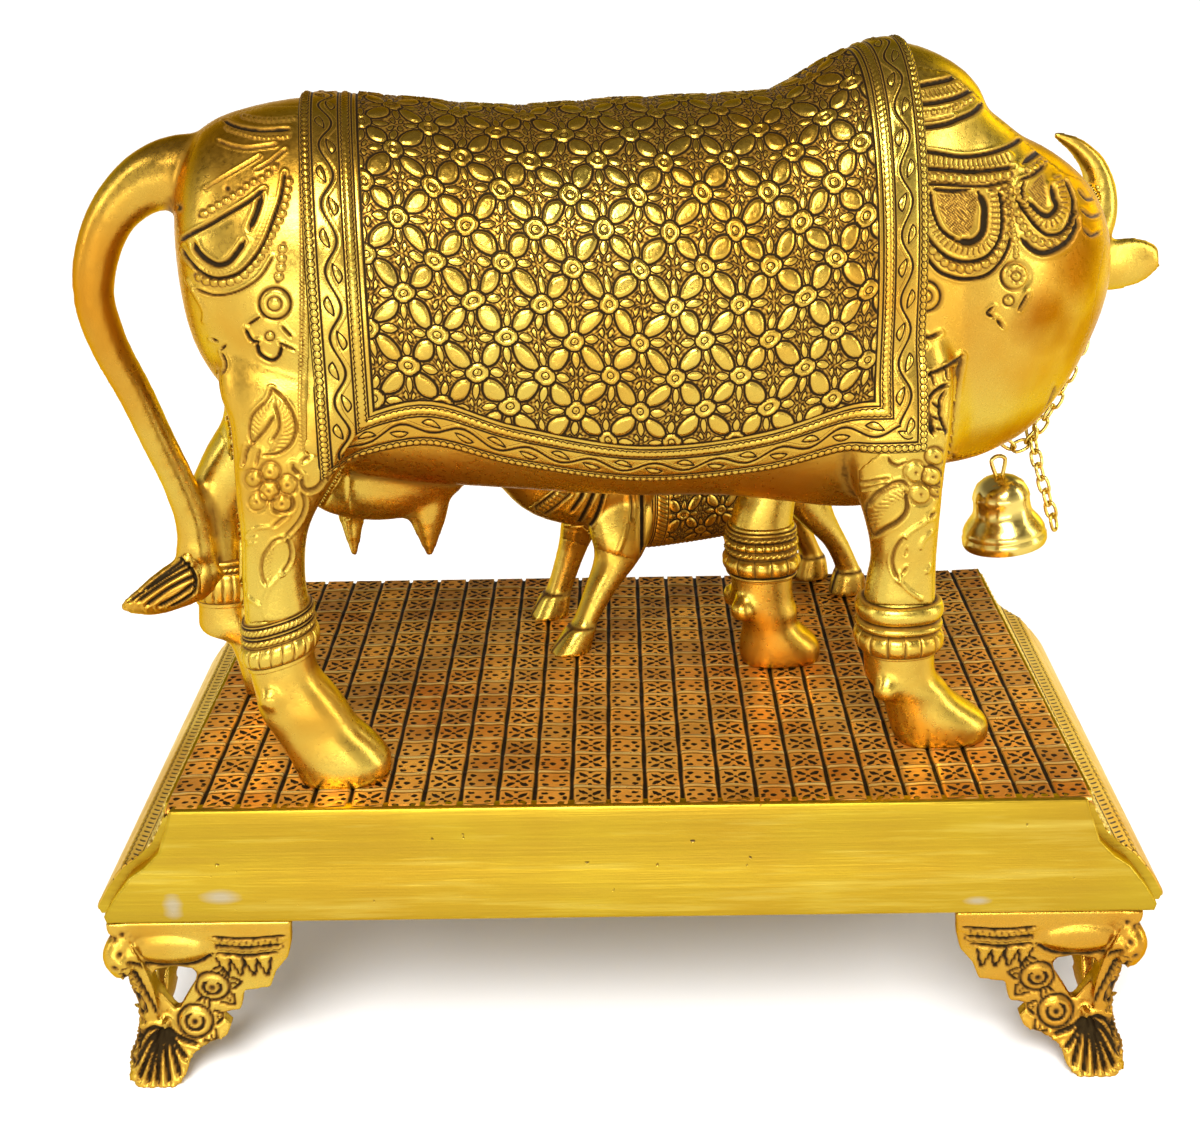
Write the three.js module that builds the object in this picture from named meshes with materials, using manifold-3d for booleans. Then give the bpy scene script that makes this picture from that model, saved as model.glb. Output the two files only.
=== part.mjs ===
// A brass cow with her calf on a low footed stand, about 207 mm high.
// Millimetres, Z up. X points where the cow walks.
// Y points to her left, where her head turns and the calf stands.
import * as THREE from "three";
import { mergeVertices } from "three/addons/utils/BufferGeometryUtils.js";
import Module from "manifold-3d";

const wasm = await Module();
wasm.setup();

// Driving dimensions of the stand
const STAND_HALF_LENGTH = 107.5;
const STAND_HALF_DEPTH = 64;
const STAND_HEIGHT = 25.8;
const FOOT_HEIGHT = 40.2;
const STAND_WALL = 3;
const TILE = 7.45;
const TILE_COLUMNS = 25;
const GROOVE_WIDTH = 0.9;
const GROOVE_DEPTH = 0.7;
const FRONT_PLATE = 4;
const LEFT_FLARE = 3;
const RIGHT_FLARE = 5;
const CORNER_REACH = 5;
const FOOT_PLATE = 4.2;
const FOOT_WAIST = 4.8;
const RIGHT_INSET = 2.4;
const REST_GAP = 0.3;

// Where the two animals stand on it
const STAND_TOP = FOOT_HEIGHT + STAND_HEIGHT;
const COW_PLACE = [0, -19];
const COW_TURN = Math.atan(0.12);
const CALF_PLACE = [22, 43];
const CALF_TURN = THREE.MathUtils.degToRad(203.2);

// The bell and its chain
const BELL_RADIUS = 9.2;
const BELL_HEIGHT = 16;
const BELL_WALL = 1;
const BELL_PLACE = [98.6, 37.5, 20.8];
const BELL_TILT = THREE.MathUtils.degToRad(8);
const LINK_LENGTH = 6.2;
const LINK_WIDTH = 3.2;
const LINK_WIRE = 0.8;
const LINK_PITCH = LINK_LENGTH - 1.85 * LINK_WIRE;

// Colours of the cast brass
const GOLD = { color: 0xd2a02c, roughness: 0.3, metalness: 1 };
const DEEP_GOLD = { color: 0xb98628, roughness: 0.35, metalness: 1 };
const PALE_GOLD = { color: 0xd9b45a, roughness: 0.25, metalness: 1 };

function solidOf(geometry) {
  const bare = new THREE.BufferGeometry();
  bare.setAttribute("position", geometry.getAttribute("position"));
  bare.setIndex(geometry.getIndex());
  const merged = mergeVertices(bare, 1e-4);
  const vertProperties = Float32Array.from(merged.getAttribute("position").array);
  const corners = merged.getIndex().array;
  const kept = [];
  for (let i = 0; i < corners.length; i += 3) {
    const [a, b, c] = corners.slice(i, i + 3);
    if (a !== b && b !== c && c !== a) {
      kept.push(a, b, c);
    }
  }
  return new wasm.Manifold(new wasm.Mesh({ numProp: 3, vertProperties, triVerts: Uint32Array.from(kept) }));
}

function geometryOf(solid) {
  const mesh = solid.getMesh();
  const geometry = new THREE.BufferGeometry();
  geometry.setAttribute("position", new THREE.BufferAttribute(Float32Array.from(mesh.vertProperties), 3));
  geometry.setIndex(new THREE.BufferAttribute(Uint32Array.from(mesh.triVerts), 1));
  return geometry;
}

function join(solids) {
  return solids.reduce((whole, piece) => whole.add(piece));
}

function pieceMesh(name, solid, look) {
  const geometry = geometryOf(solid);
  geometry.computeVertexNormals();
  const mesh = new THREE.Mesh(geometry, new THREE.MeshStandardMaterial(look));
  mesh.name = name;
  return mesh;
}

// Rows of numbers, smoothed by a Catmull-Rom curve with the given number of steps between two rows.
function smoothRows(rows, steps) {
  const smooth = [];
  for (let i = 0; i < rows.length - 1; i++) {
    const before = rows[Math.max(i - 1, 0)];
    const after = rows[Math.min(i + 2, rows.length - 1)];
    for (let k = 0; k < steps; k++) {
      const t = k / steps;
      smooth.push(rows[i].map((value, c) => catmullRom(before[c], value, rows[i + 1][c], after[c], t)));
    }
  }
  smooth.push([...rows[rows.length - 1]]);
  return smooth;
}

function catmullRom(a, b, c, d, t) {
  const even = (2 * a - 5 * b + 4 * c - d) * t * t;
  const odd = (3 * b - a - 3 * c + d) * t * t * t;
  return 0.5 * (2 * b + (c - a) * t + even + odd);
}

// One ring of a loft: a rounded oval, whose four reaches and two powers may differ.
function ringPoint(ring, angle, grow = 0) {
  const c = Math.cos(angle);
  const s = Math.sin(angle);
  const power = 2 / (s >= 0 ? ring.powerUp : ring.powerDown);
  const across = Math.sign(c) * Math.abs(c) ** power * ((c >= 0 ? ring.right : ring.left) + grow);
  const rise = Math.sign(s) * Math.abs(s) ** power * ((s >= 0 ? ring.up : ring.down) + grow);
  return ring.centre.clone().addScaledVector(ring.across, across).addScaledVector(ring.rise, rise);
}

function makeRing(centre, across, rise, reaches, powerUp = 2.2, powerDown = powerUp) {
  const [right, left, up, down] = reaches;
  return { centre, across, rise, right, left, up, down, powerUp, powerDown };
}

// A closed skin through rows of points, each row having as many points, with a fan over both ends.
function skin(rows) {
  const count = rows[0].length;
  const middleOf = (row) => row.reduce((sum, p) => sum.add(p), new THREE.Vector3()).divideScalar(count);
  const points = [...rows.flat(), middleOf(rows[0]), middleOf(rows[rows.length - 1])];
  const first = rows.length * count;
  const last = first + 1;
  const faces = [];
  for (let r = 0; r < rows.length - 1; r++) {
    for (let i = 0; i < count; i++) {
      const j = (i + 1) % count;
      const [a, b, c, d] = [r * count + i, r * count + j, (r + 1) * count + j, (r + 1) * count + i];
      faces.push(a, b, c, a, c, d);
    }
  }
  for (let i = 0; i < count; i++) {
    const j = (i + 1) % count;
    faces.push(j, i, first);
    faces.push((rows.length - 1) * count + i, (rows.length - 1) * count + j, last);
  }
  return closedSolid(points, faces);
}

function closedSolid(points, faces) {
  const volume = signedVolume(points, faces);
  if (volume < 0) {
    for (let i = 0; i < faces.length; i += 3) {
      [faces[i], faces[i + 1]] = [faces[i + 1], faces[i]];
    }
  }
  const geometry = new THREE.BufferGeometry().setFromPoints(points);
  geometry.setIndex(faces);
  return solidOf(geometry);
}

function signedVolume(points, faces) {
  let volume = 0;
  const normal = new THREE.Vector3();
  for (let i = 0; i < faces.length; i += 3) {
    normal.crossVectors(points[faces[i]], points[faces[i + 1]]);
    volume += normal.dot(points[faces[i + 2]]);
  }
  return volume;
}

function loft(rings, sides) {
  const angles = Array.from({ length: sides }, (_, i) => (2 * Math.PI * (i + 0.5)) / sides);
  return skin(rings.map((ring) => angles.map((angle) => ringPoint(ring, angle))));
}

const AXIS_X = new THREE.Vector3(1, 0, 0);
const AXIS_Y = new THREE.Vector3(0, 1, 0);
const AXIS_Z = new THREE.Vector3(0, 0, 1);

// How square the sections are: 2 is an oval, and more is boxier. First above, then below the middle.
const TRUNK_POWERS = [2.1, 2.4];
const NECK_POWERS = [2.1, 1.75];
const LEG_POWER = 2.4;

// A trunk lies along X. Each row: place along, half width, middle height, rise and drop.
function trunkRings(rows, steps) {
  return smoothRows(rows, steps).map(trunkRing);
}

function trunkRing([along, half, middle, rise, drop]) {
  const centre = new THREE.Vector3(along, 0, middle);
  return makeRing(centre, AXIS_Y, AXIS_Z, [half, half, rise, drop], ...TRUNK_POWERS);
}

// A leg stands on level sections. Each row: height, back, front, half width and place across.
function leg(rows, sides, sign) {
  const rings = rows.map(([height, back, front, half, across]) => {
    const centre = new THREE.Vector3((back + front) / 2, sign * across, height);
    const reach = (front - back) / 2;
    return makeRing(centre, AXIS_X, AXIS_Y, [reach, reach, half, half], LEG_POWER);
  });
  return loft(rings, sides);
}

// A round limb along a bent path. Each row: three coordinates, radius, and its flattening from 0 to 1.
function limb(rows, sides, flatAcross = AXIS_Z) {
  const centres = rows.map(([x, y, z]) => new THREE.Vector3(x, y, z));
  const rings = rows.map(([, , , radius, flat = 1], i) => {
    const ahead = centres[Math.min(i + 1, rows.length - 1)];
    const along = ahead.clone().sub(centres[Math.max(i - 1, 0)]).normalize();
    const across = new THREE.Vector3().crossVectors(flatAcross, along).normalize();
    const rise = new THREE.Vector3().crossVectors(along, across).normalize();
    const thick = radius * flat;
    return makeRing(centres[i], across, rise, [thick, thick, radius, radius], 2);
  });
  return loft(rings, sides);
}

// Three stacked rings of an anklet, as leg rows from the top down.
function ankletRows(top, bottom, back, front, half, across) {
  const steps = [[0, 0], [0.14, 1.2], [0.3, 0.4], [0.5, 1.4], [0.85, 1.4], [1, 0]];
  return steps.map(([part, bulge]) => {
    const height = top + (bottom - top) * part;
    return [height, back - bulge, front + bulge, half + bulge, across];
  });
}

// The cow's trunk, from the buttocks to the chest, with the hump over the shoulder
const COW_TRUNK = [
  [-87, 8, 106, 8, 9],
  [-85, 17, 105.5, 17, 18],
  [-80.3, 24, 104, 25.2, 25],
  [-71, 29, 100, 32.6, 32],
  [-58, 31, 97, 37.1, 36],
  [-42, 31.5, 94.5, 38, 37],
  [-22, 32, 92.5, 37.8, 37.5],
  [0, 32.3, 91, 40, 38.6],
  [18, 32, 90.5, 40.8, 39],
  [32, 31, 91, 41.2, 41.8],
  [44, 29.5, 92, 46.4, 45],
  [54, 27, 93, 48.6, 46],
  [64, 22, 93, 46.2, 42],
  [72.5, 15, 93, 40, 34],
  [77, 7, 93, 29, 22],
];

// The neck turns to her left. Each row: along, across, heading, half thickness, middle height, rise and drop.
const COW_NECK = [
  [46, 0, 0, 25, 93, 44, 42],
  [62, 1, 8, 22.5, 93.5, 43, 41],
  [74, 3.5, 20, 20.3, 92.5, 36, 39.5],
  [81, 6.5, 30, 19, 92, 31.2, 38],
  [88, 11, 42, 18, 91.5, 28, 35],
  [96.5, 20.5, 62, 15, 90.5, 23, 25],
  [101, 31, 80, 12.8, 88.5, 19, 19],
  [101, 40, 90, 11, 86, 13.5, 13],
];

function neckRing([along, across, heading, half, middle, rise, drop]) {
  const turn = THREE.MathUtils.degToRad(heading);
  const sideways = new THREE.Vector3(-Math.sin(turn), Math.cos(turn), 0);
  const centre = new THREE.Vector3(along, across, middle);
  return makeRing(centre, sideways, AXIS_Z, [half, half, rise, drop], ...NECK_POWERS);
}

// The head points to her left and down. Each row: distance from the poll, half width, rise and drop.
const HEAD_PLACE = new THREE.Vector3(101, 40, 87);
const HEAD_PITCH = THREE.MathUtils.degToRad(40);
const HEAD_ROWS = [
  [-9, 6, 6, 6],
  [-5, 10.5, 10.5, 11],
  [2, 13, 12, 14],
  [11, 13, 11.5, 14],
  [21, 10.5, 9.5, 12],
  [31, 8.2, 8, 9.5],
  [39, 8, 7.5, 8.5],
  [45, 7.6, 6.2, 7.4],
  [49, 4.5, 3.5, 4.5],
];
const HEAD_FORWARD = new THREE.Vector3(0, Math.cos(HEAD_PITCH), -Math.sin(HEAD_PITCH));
const HEAD_UP = new THREE.Vector3(0, Math.sin(HEAD_PITCH), Math.cos(HEAD_PITCH));

function headPoint(side, forward, up) {
  return HEAD_PLACE.clone().addScaledVector(AXIS_X, side).addScaledVector(HEAD_FORWARD, forward)
    .addScaledVector(HEAD_UP, up);
}

// Horn and ear points: sideways from the middle of the poll, to her left and up, with a radius.
const HORN_ROWS = [
  [6, 1, 1, 5],
  [12.4, 3, 4, 5],
  [17.3, 5, 9, 4.5],
  [18.2, 6, 15.5, 3.9],
  [16.4, 7, 22, 3],
  [11.4, 7, 27, 2],
  [6, 7, 29.6, 0.8],
];
const EAR_ROWS = [
  [10, 1, -0.6, 3.4, 0.9],
  [17, 3, -0.8, 5.6, 0.6],
  [24, 5, -0.8, 6.2, 0.42],
  [30, 6.5, -0.4, 5.4, 0.42],
  [34.2, 7, 0, 2.8, 0.6],
];

function headPair(rows, sides, flatAcross) {
  return [-1, 1].map((sign) => {
    const placed = rows.map(([side, left, up, ...rest]) => {
      return [HEAD_PLACE.x + sign * side, HEAD_PLACE.y + left, HEAD_PLACE.z + up, ...rest];
    });
    return limb(placed, sides, flatAcross);
  });
}

function cowHead() {
  const rings = HEAD_ROWS.map(([forward, half, rise, drop]) => {
    return makeRing(headPoint(0, forward, 0), AXIS_X, HEAD_UP, [half, half, rise, drop], 2.2);
  });
  const eyes = [-1, 1].map((sign) => {
    const from = headPoint(sign * 9, 12, 3);
    const to = headPoint(sign * 14, 12, 3.6);
    return limb([[...from, 3.4, 0.7], [...from.lerp(to, 0.7), 2.9, 0.7], [...to, 1.2, 0.7]], 8);
  });
  return join([loft(rings, 14), ...eyes, ...headPair(HORN_ROWS, 8, AXIS_Y),
    ...headPair(EAR_ROWS, 8, AXIS_Z)]);
}

// The four legs, each from inside the trunk down to the sole
const NEAR_HIND = [
  [96, -78, -50, 5, 20],
  [84, -79.8, -48, 9, 21.5],
  [76, -78.2, -51.2, 9.2, 22.2],
  [62, -78.3, -60.8, 8, 23],
  [54, -78.1, -65, 7, 23],
  [45, -78.7, -66.3, 6.4, 23],
  ...ankletRows(38, 25.5, -78.9, -66, 6.5, 23),
  [19, -77.4, -62.3, 7, 23],
  [10, -74.6, -57, 7.2, 23],
  [4, -72, -52, 7.6, 23],
  [0, -70.8, -52.4, 7.6, 23],
];
const FAR_HIND = [
  [96, -78, -50, 5, 20],
  [80, -82.5, -50, 9, 22],
  [66, -84.2, -58, 8.6, 22.8],
  [59, -88.4, -66, 8, 23],
  [50, -93, -76, 7, 23],
  [42, -94.3, -80.8, 6.4, 23],
  ...ankletRows(34.5, 22.5, -93.8, -81, 6.4, 23),
  [14, -92.6, -77.5, 6.8, 23],
  [8, -90, -73.5, 7, 23],
  [0, -87.5, -69.5, 7.2, 23],
];
const NEAR_FORE = [
  [96, 42, 58, 4, 19],
  [82, 41, 63.5, 7, 21.5],
  [70, 41, 63.6, 8, 23],
  [60, 43, 62.5, 7.6, 23.3],
  [52, 46.2, 62.1, 7, 23.5],
  [42, 48.6, 61.7, 6.4, 23.5],
  ...ankletRows(33, 16.8, 47.4, 62, 6.6, 23.5),
  [10.5, 52, 67.5, 7, 23.5],
  [4.5, 53.6, 74.6, 7.4, 23.5],
  [0, 55, 75, 7.4, 23.5],
];
const FAR_FORE = [
  [82, 26, 48, 4, 18],
  [64, 27, 50, 8, 22],
  [54, 30, 46, 7.3, 22.5],
  [44, 31, 43.6, 6.6, 22.5],
  ...ankletRows(35, 17, 27.9, 42, 6.8, 22.5),
  [10.5, 30.6, 44.5, 7, 22.5],
  [4.5, 30.3, 48.9, 7.3, 22.5],
  [0, 30.2, 49.2, 7.3, 22.5],
];

const TAIL_ROWS = [
  [-78, 0, 119, 9],
  [-86, 0, 120.5, 7.4],
  [-93, 0.5, 118.5, 5.9],
  [-99.3, 1, 113, 4.8],
  [-103.5, 2, 105, 4.4],
  [-105.2, 3, 96, 4.2],
  [-103.6, 5, 86, 3.9],
  [-100, 8, 75, 3.7],
  [-97, 11, 64, 3.6],
  [-94.2, 14, 54, 3.6],
  [-92.2, 16, 44, 3.9],
  [-92.2, 16.5, 36, 4.6],
];
const TUFT_ROWS = [
  [-88, 17, 34, 3],
  [-92.6, 16.5, 31.4, 5.4, 0.7],
  [-98, 15.5, 29, 5.2, 0.7],
  [-103.6, 14, 27, 3.8, 0.7],
  [-109, 12, 26.4, 1.2, 0.8],
];
const UDDER_ROWS = [
  [-66, 0, 64, 6],
  [-60, 0, 61, 11],
  [-50, 0, 61, 13],
  [-40, 0, 62.5, 11.5],
  [-31, 0, 65, 6],
];
const TEATS = [[-57.5, 4, 38, 3.6], [-41.5, -4, 40, 4.6]];

// The cloth over her back: from its hind edge to its front edge, and the height of its hem
const CLOTH_BACK = -61.5;
const CLOTH_FRONT = 57;
const CLOTH_THICKNESS = 0.9;
const CLOTH_SINK = 3;
const CLOTH_HEM = [[-61.5, 66], [-42, 71], [-24, 65.5], [0, 60.5], [24, 61.5], [42, 65.5], [57, 66]];

function hemHeight(along) {
  const i = Math.max(CLOTH_HEM.findIndex(([place]) => place >= along), 1);
  const [[x0, h0], [x1, h1]] = [CLOTH_HEM[i - 1], CLOTH_HEM[i]];
  return h0 + ((h1 - h0) * (along - x0)) / (x1 - x0);
}

// A saddle cloth on trunk rings: an arch between two hems, as thick as the cloth outside the skin.
function saddleCloth(rings, hem, points) {
  const rows = rings.map((ring) => {
    const sink = (ring.centre.z - hem(ring.centre.x)) / (ring.down + CLOTH_THICKNESS);
    const low = -Math.asin(Math.min(Math.max(sink, 0), 0.96) ** (ring.powerDown / 2));
    const arc = Array.from({ length: points }, (_, i) => low + ((Math.PI - 2 * low) * i) / (points - 1));
    const outer = arc.map((angle) => ringPoint(ring, angle, CLOTH_THICKNESS));
    const inner = arc.reverse().map((angle) => ringPoint(ring, angle, -CLOTH_SINK));
    return [...outer, ...inner];
  });
  return closedArch(rows, points);
}

// A skin whose ends are strips between the outer and the inner arc.
function closedArch(rows, points) {
  const count = rows[0].length;
  const faces = [];
  for (let r = 0; r < rows.length - 1; r++) {
    for (let i = 0; i < count; i++) {
      const j = (i + 1) % count;
      const [a, b, c, d] = [r * count + i, r * count + j, (r + 1) * count + j, (r + 1) * count + i];
      faces.push(a, b, c, a, c, d);
    }
  }
  const lastRow = (rows.length - 1) * count;
  for (let i = 0; i < points - 1; i++) {
    const [a, b, c, d] = [i, i + 1, count - 2 - i, count - 1 - i];
    faces.push(a, c, b, a, d, c);
    faces.push(lastRow + a, lastRow + b, lastRow + c, lastRow + a, lastRow + c, lastRow + d);
  }
  return closedSolid(rows.flat(), faces);
}

function ringsBetween(rows, from, to, count) {
  const fine = smoothRows(rows, 12);
  return Array.from({ length: count }, (_, i) => {
    const along = from + ((to - from) * i) / (count - 1);
    const k = fine.findIndex((row) => row[0] >= along);
    const t = (along - fine[k - 1][0]) / (fine[k][0] - fine[k - 1][0]);
    return trunkRing(fine[k].map((value, c) => THREE.MathUtils.lerp(fine[k - 1][c], value, t)));
  });
}

// The front of each of the four hooves, and its place across
const HOOF_TIPS = [[-52, -23], [-69.5, 23], [75, -23.5], [49, 22.5]];

// A wedge that parts the two toes at the front of a hoof
function cleft(front, across) {
  const rows = [0, 1].map((end) => {
    const reach = end === 0 ? 7 : -1;
    const width = end === 0 ? 0.1 : 1.2;
    const x = front - reach;
    return [[x, -width, -1], [x, width, -1], [x, width, 9], [x, -width, 9]].map(([a, b, c]) => {
      return new THREE.Vector3(a, across + b, c);
    });
  });
  return skin(rows);
}

function cow() {
  const trunk = loft(trunkRings(COW_TRUNK, 1), 18);
  const cloth = saddleCloth(ringsBetween(COW_TRUNK, CLOTH_BACK, CLOTH_FRONT, 12), hemHeight, 13);
  const neck = loft(smoothRows(COW_NECK, 2).map(neckRing), 16);
  const nearLegs = [NEAR_HIND, NEAR_FORE].map((rows) => leg(rows, 10, -1));
  const farLegs = [FAR_HIND, FAR_FORE].map((rows) => leg(rows, 10, 1));
  const teats = TEATS.map(([x, y, tip, radius]) => {
    const root = [[x, y, 58, radius], [x, y, 51, radius]];
    return limb([...root, [x, y, tip + 3, radius * 0.4], [x, y, tip, 0.7]], 8, AXIS_Y);
  });
  const clefts = HOOF_TIPS.map(([front, across]) => cleft(front, across));
  const whole = join([trunk, cloth, neck, cowHead(), ...nearLegs, ...farLegs, limb(TAIL_ROWS, 8),
    limb(TUFT_ROWS, 8), limb(UDDER_ROWS, 10), ...teats]);
  return clefts.reduce((body, cut) => body.subtract(cut), whole);
}

// The calf: trunk, legs, and a neck that reaches up to the cow
const CALF_TRUNK = [
  [-27, 4, 38, 4, 5],
  [-24, 8, 37, 9, 10],
  [-16, 10.4, 35.5, 12.5, 14],
  [-4, 11, 35, 13.5, 14.8],
  [10, 11, 35, 13.8, 15],
  [21, 10.5, 35.5, 14.5, 15],
  [30, 8.5, 36, 14, 13.5],
  [36, 4, 37, 9, 8],
];
const CALF_NECK = [
  [20, 0, 38, 12],
  [34, 0, 38.5, 11.5],
  [43.5, 1.5, 41, 10],
  [51, 4, 47, 8.4],
  [57.5, 6.5, 52.5, 7.6],
  [64, 9.5, 57.5, 6],
  [69, 12, 61, 4.8],
  [71, 13, 62.3, 3],
];
const CALF_LEGS = [
  [[34, 17, 36, 5.5, 6], [27, 20, 35.5, 5.5, 8], [21, 23.5, 35, 4.8, 9.5], [14, 31, 38.8, 3.4, 11.6],
    [7, 36.6, 42.4, 3, 12.8], [5.6, 37, 44.4, 3.6, 13], [0, 39, 48.6, 4.2, 13.2]],
  [[34, 20, 36, 5.5, -5], [26, 25.2, 36.6, 4.8, -7.5], [18, 29.6, 37, 3.6, -9.5],
    [7, 33.9, 40.1, 3.1, -10.3], [5.6, 34.2, 41.8, 3.6, -10.4], [0, 35.2, 44.8, 4.2, -10.4]],
  [[40, -28, -8, 5.5, 4], [30, -29.5, -15, 5, 5.5], [22, -31.6, -21, 4, 6.8], [14, -35.6, -29.2, 3.2, 7.4],
    [7, -38.9, -32.9, 3, 7.6], [5.6, -39.8, -32.4, 3.6, 7.6], [0, -40.8, -31.2, 4.2, 7.6]],
  [[40, -26, -7, 5.5, -4], [30, -26.5, -13.5, 4.8, -5], [22, -28.8, -20.2, 3.7, -5.8],
    [12, -33.4, -27, 3, -6.2], [7, -35.8, -29.8, 3, -6.2], [5.6, -36.8, -29.4, 3.6, -6.2],
    [0, -37.8, -28.2, 4.2, -6.2]],
];
const CALF_POLL = [56, 6, 54];
const CALF_EAR = [[0, 5, 2, 1.6, 0.6], [-2, 9.5, 4, 3.2, 0.45], [-4, 14, 4.5, 1, 0.6]];
const CALF_TAIL = [[-23, 0, 44, 2.6], [-28, 0, 42, 2.2], [-30.5, 0, 35, 1.7], [-31, 0, 26, 1.7],
  [-31, 0, 21, 2.4], [-31, 0, 15, 0.7]];
const CALF_HEM = 20.2;
const CALF_CLOTH = [-18, 21.5];

function calf() {
  const trunk = loft(trunkRings(CALF_TRUNK, 1), 14);
  const cloth = saddleCloth(ringsBetween(CALF_TRUNK, ...CALF_CLOTH, 7), () => CALF_HEM, 11);
  const legs = CALF_LEGS.map((rows) => leg(rows, 8, 1));
  const ears = [-1, 1].map((sign) => {
    const [poll, middle, height] = CALF_POLL;
    const rows = CALF_EAR.map(([forward, side, up, ...rest]) => {
      return [poll + forward, middle + sign * side, height + up, ...rest];
    });
    return limb(rows, 6);
  });
  return join([trunk, cloth, limb(CALF_NECK, 12), ...legs, ...ears, limb(CALF_TAIL, 6)]);
}

// The stand: a front plate, and behind it a body with wider banded ends, hollow and open below
const PLATE_PROFILE = [
  [91.6, STAND_TOP],
  [92.8, 62],
  [94.8, 56.6],
  [98, 53.2],
  [101.4, 50.8],
  [104.8, 46.4],
  [STAND_HALF_LENGTH, 42],
  [STAND_HALF_LENGTH - 0.4, FOOT_HEIGHT + REST_GAP],
];
const BODY_PROFILE = [
  [93.2, STAND_TOP],
  [94.4, 61.6],
  [97.2, 56.4],
  [100.4, 53.4],
  [103.6, 51],
  [107, 46.6],
  [STAND_HALF_LENGTH + 2.2, 42],
  [STAND_HALF_LENGTH + 1.6, FOOT_HEIGHT + REST_GAP],
];

function profileBlock(profile, front, back) {
  const mirrored = profile.map(([x, z]) => [-x, z]).reverse();
  const shape = new THREE.Shape([...profile, ...mirrored].map(([x, z]) => new THREE.Vector2(x, z)));
  const block = new THREE.ExtrudeGeometry(shape, { depth: back - front, bevelEnabled: false });
  block.rotateX(Math.PI / 2);
  block.translate(0, back, 0);
  return solidOf(block);
}

function stand() {
  const plateBack = FRONT_PLATE - STAND_HALF_DEPTH;
  const plate = profileBlock(PLATE_PROFILE, -STAND_HALF_DEPTH, plateBack);
  const body = profileBlock(BODY_PROFILE, plateBack, STAND_HALF_DEPTH);
  const insideProfile = PLATE_PROFILE.map(([x, z]) => {
    return [x - STAND_WALL, Math.max(z - STAND_WALL, FOOT_HEIGHT - 1)];
  });
  const insideReach = STAND_HALF_DEPTH - STAND_WALL;
  const inside = profileBlock(insideProfile, -insideReach, insideReach);
  const grooves = Array.from({ length: TILE_COLUMNS - 1 }, (_, i) => {
    const groove = new THREE.BoxGeometry(GROOVE_WIDTH, 3 * STAND_HALF_DEPTH, 2 * GROOVE_DEPTH);
    groove.translate((i + 1 - TILE_COLUMNS / 2) * TILE, 0, STAND_TOP);
    return solidOf(groove);
  });
  return [inside, ...grooves].reduce((whole, cut) => whole.subtract(cut), plate.add(body)).warp(flare);
}

// The ends spread towards the back, most at the bottom of the slope, and the right back corner reaches out.
function flare(vertex) {
  const back = (vertex[1] + STAND_HALF_DEPTH) / (2 * STAND_HALF_DEPTH);
  const down = (STAND_TOP - vertex[2]) / STAND_HEIGHT;
  const end = vertex[0] / STAND_HALF_LENGTH;
  vertex[0] += end * (end < 0 ? LEFT_FLARE : RIGHT_FLARE) * back * (1 + down) / 2;
  vertex[1] += CORNER_REACH * Math.max(end, 0) ** 5 * back;
}

// One wing of a bracket foot, seen from outside: distance from the stand's corner, and height
const WING_OUTLINE = [
  [0, 40.2], [0, 36], [1, 32.4], [3.4, 28], [4.3, 22], [4.9, 16.5], [4.2, 10.8], [2.6, 7], [2.6, 2.6],
  [3.8, 0], [10, 0], [13.6, 3], [15, 6.4], [18, 9.6], [22, 10.8], [22.8, 13], [21.4, 16], [25, 16.4],
  [26.6, 20.8], [32.4, 22.4], [33.6, 27.6], [37.4, 31.4], [38.8, 40.2],
];
const WING_HOLE = [[9.4, 23.6], [11, 26], [14, 26.8], [17, 27.4], [18.2, 25], [16, 21.4], [12.6, 16]];
const SCROLLS = [[20.6, 22.6, 3], [16, 14.2, 3.2]];

// A foot is waisted: how far it draws in at each height
function drawIn(height) {
  const part = Math.min(Math.max(1 - height / FOOT_HEIGHT, 0), 1);
  return FOOT_WAIST * Math.sin(Math.PI * part ** 1.1);
}

function wing() {
  const shape = new THREE.Shape(WING_OUTLINE.map(([x, z]) => new THREE.Vector2(x, z)));
  shape.holes.push(new THREE.Path(WING_HOLE.map(([x, z]) => new THREE.Vector2(x, z))));
  const plate = new THREE.ExtrudeGeometry(shape, { depth: FOOT_PLATE, bevelEnabled: false });
  const scrolls = SCROLLS.map(([x, z, radius]) => {
    const scroll = new THREE.CylinderGeometry(radius * 0.7, radius, 1.4, 6);
    scroll.rotateX(Math.PI / 2);
    scroll.translate(x, z, FOOT_PLATE + 0.6);
    return solidOf(scroll);
  });
  return join([solidOf(plate), ...scrolls]);
}

function foot() {
  const front = wing().warp((vertex) => {
    const [x, z, outward] = vertex;
    vertex[0] = x;
    vertex[1] = drawIn(z) + FOOT_PLATE - outward;
    vertex[2] = z;
  });
  const side = front.mirror([1, -1, 0]);
  return front.add(side);
}

// Feet stand under the four corners, each mirrored into its own.
function placedFoot(signX, signY) {
  const solid = foot();
  const turned = solid.scale([-signX, -signY, 1]);
  const flares = signX < 0 ? LEFT_FLARE : RIGHT_FLARE;
  const inset = signX < 0 ? 0 : RIGHT_INSET;
  const corner = STAND_HALF_LENGTH + (signY > 0 ? flares : 0) - inset;
  return turned.translate([signX * corner, signY * STAND_HALF_DEPTH, 0]);
}

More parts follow.
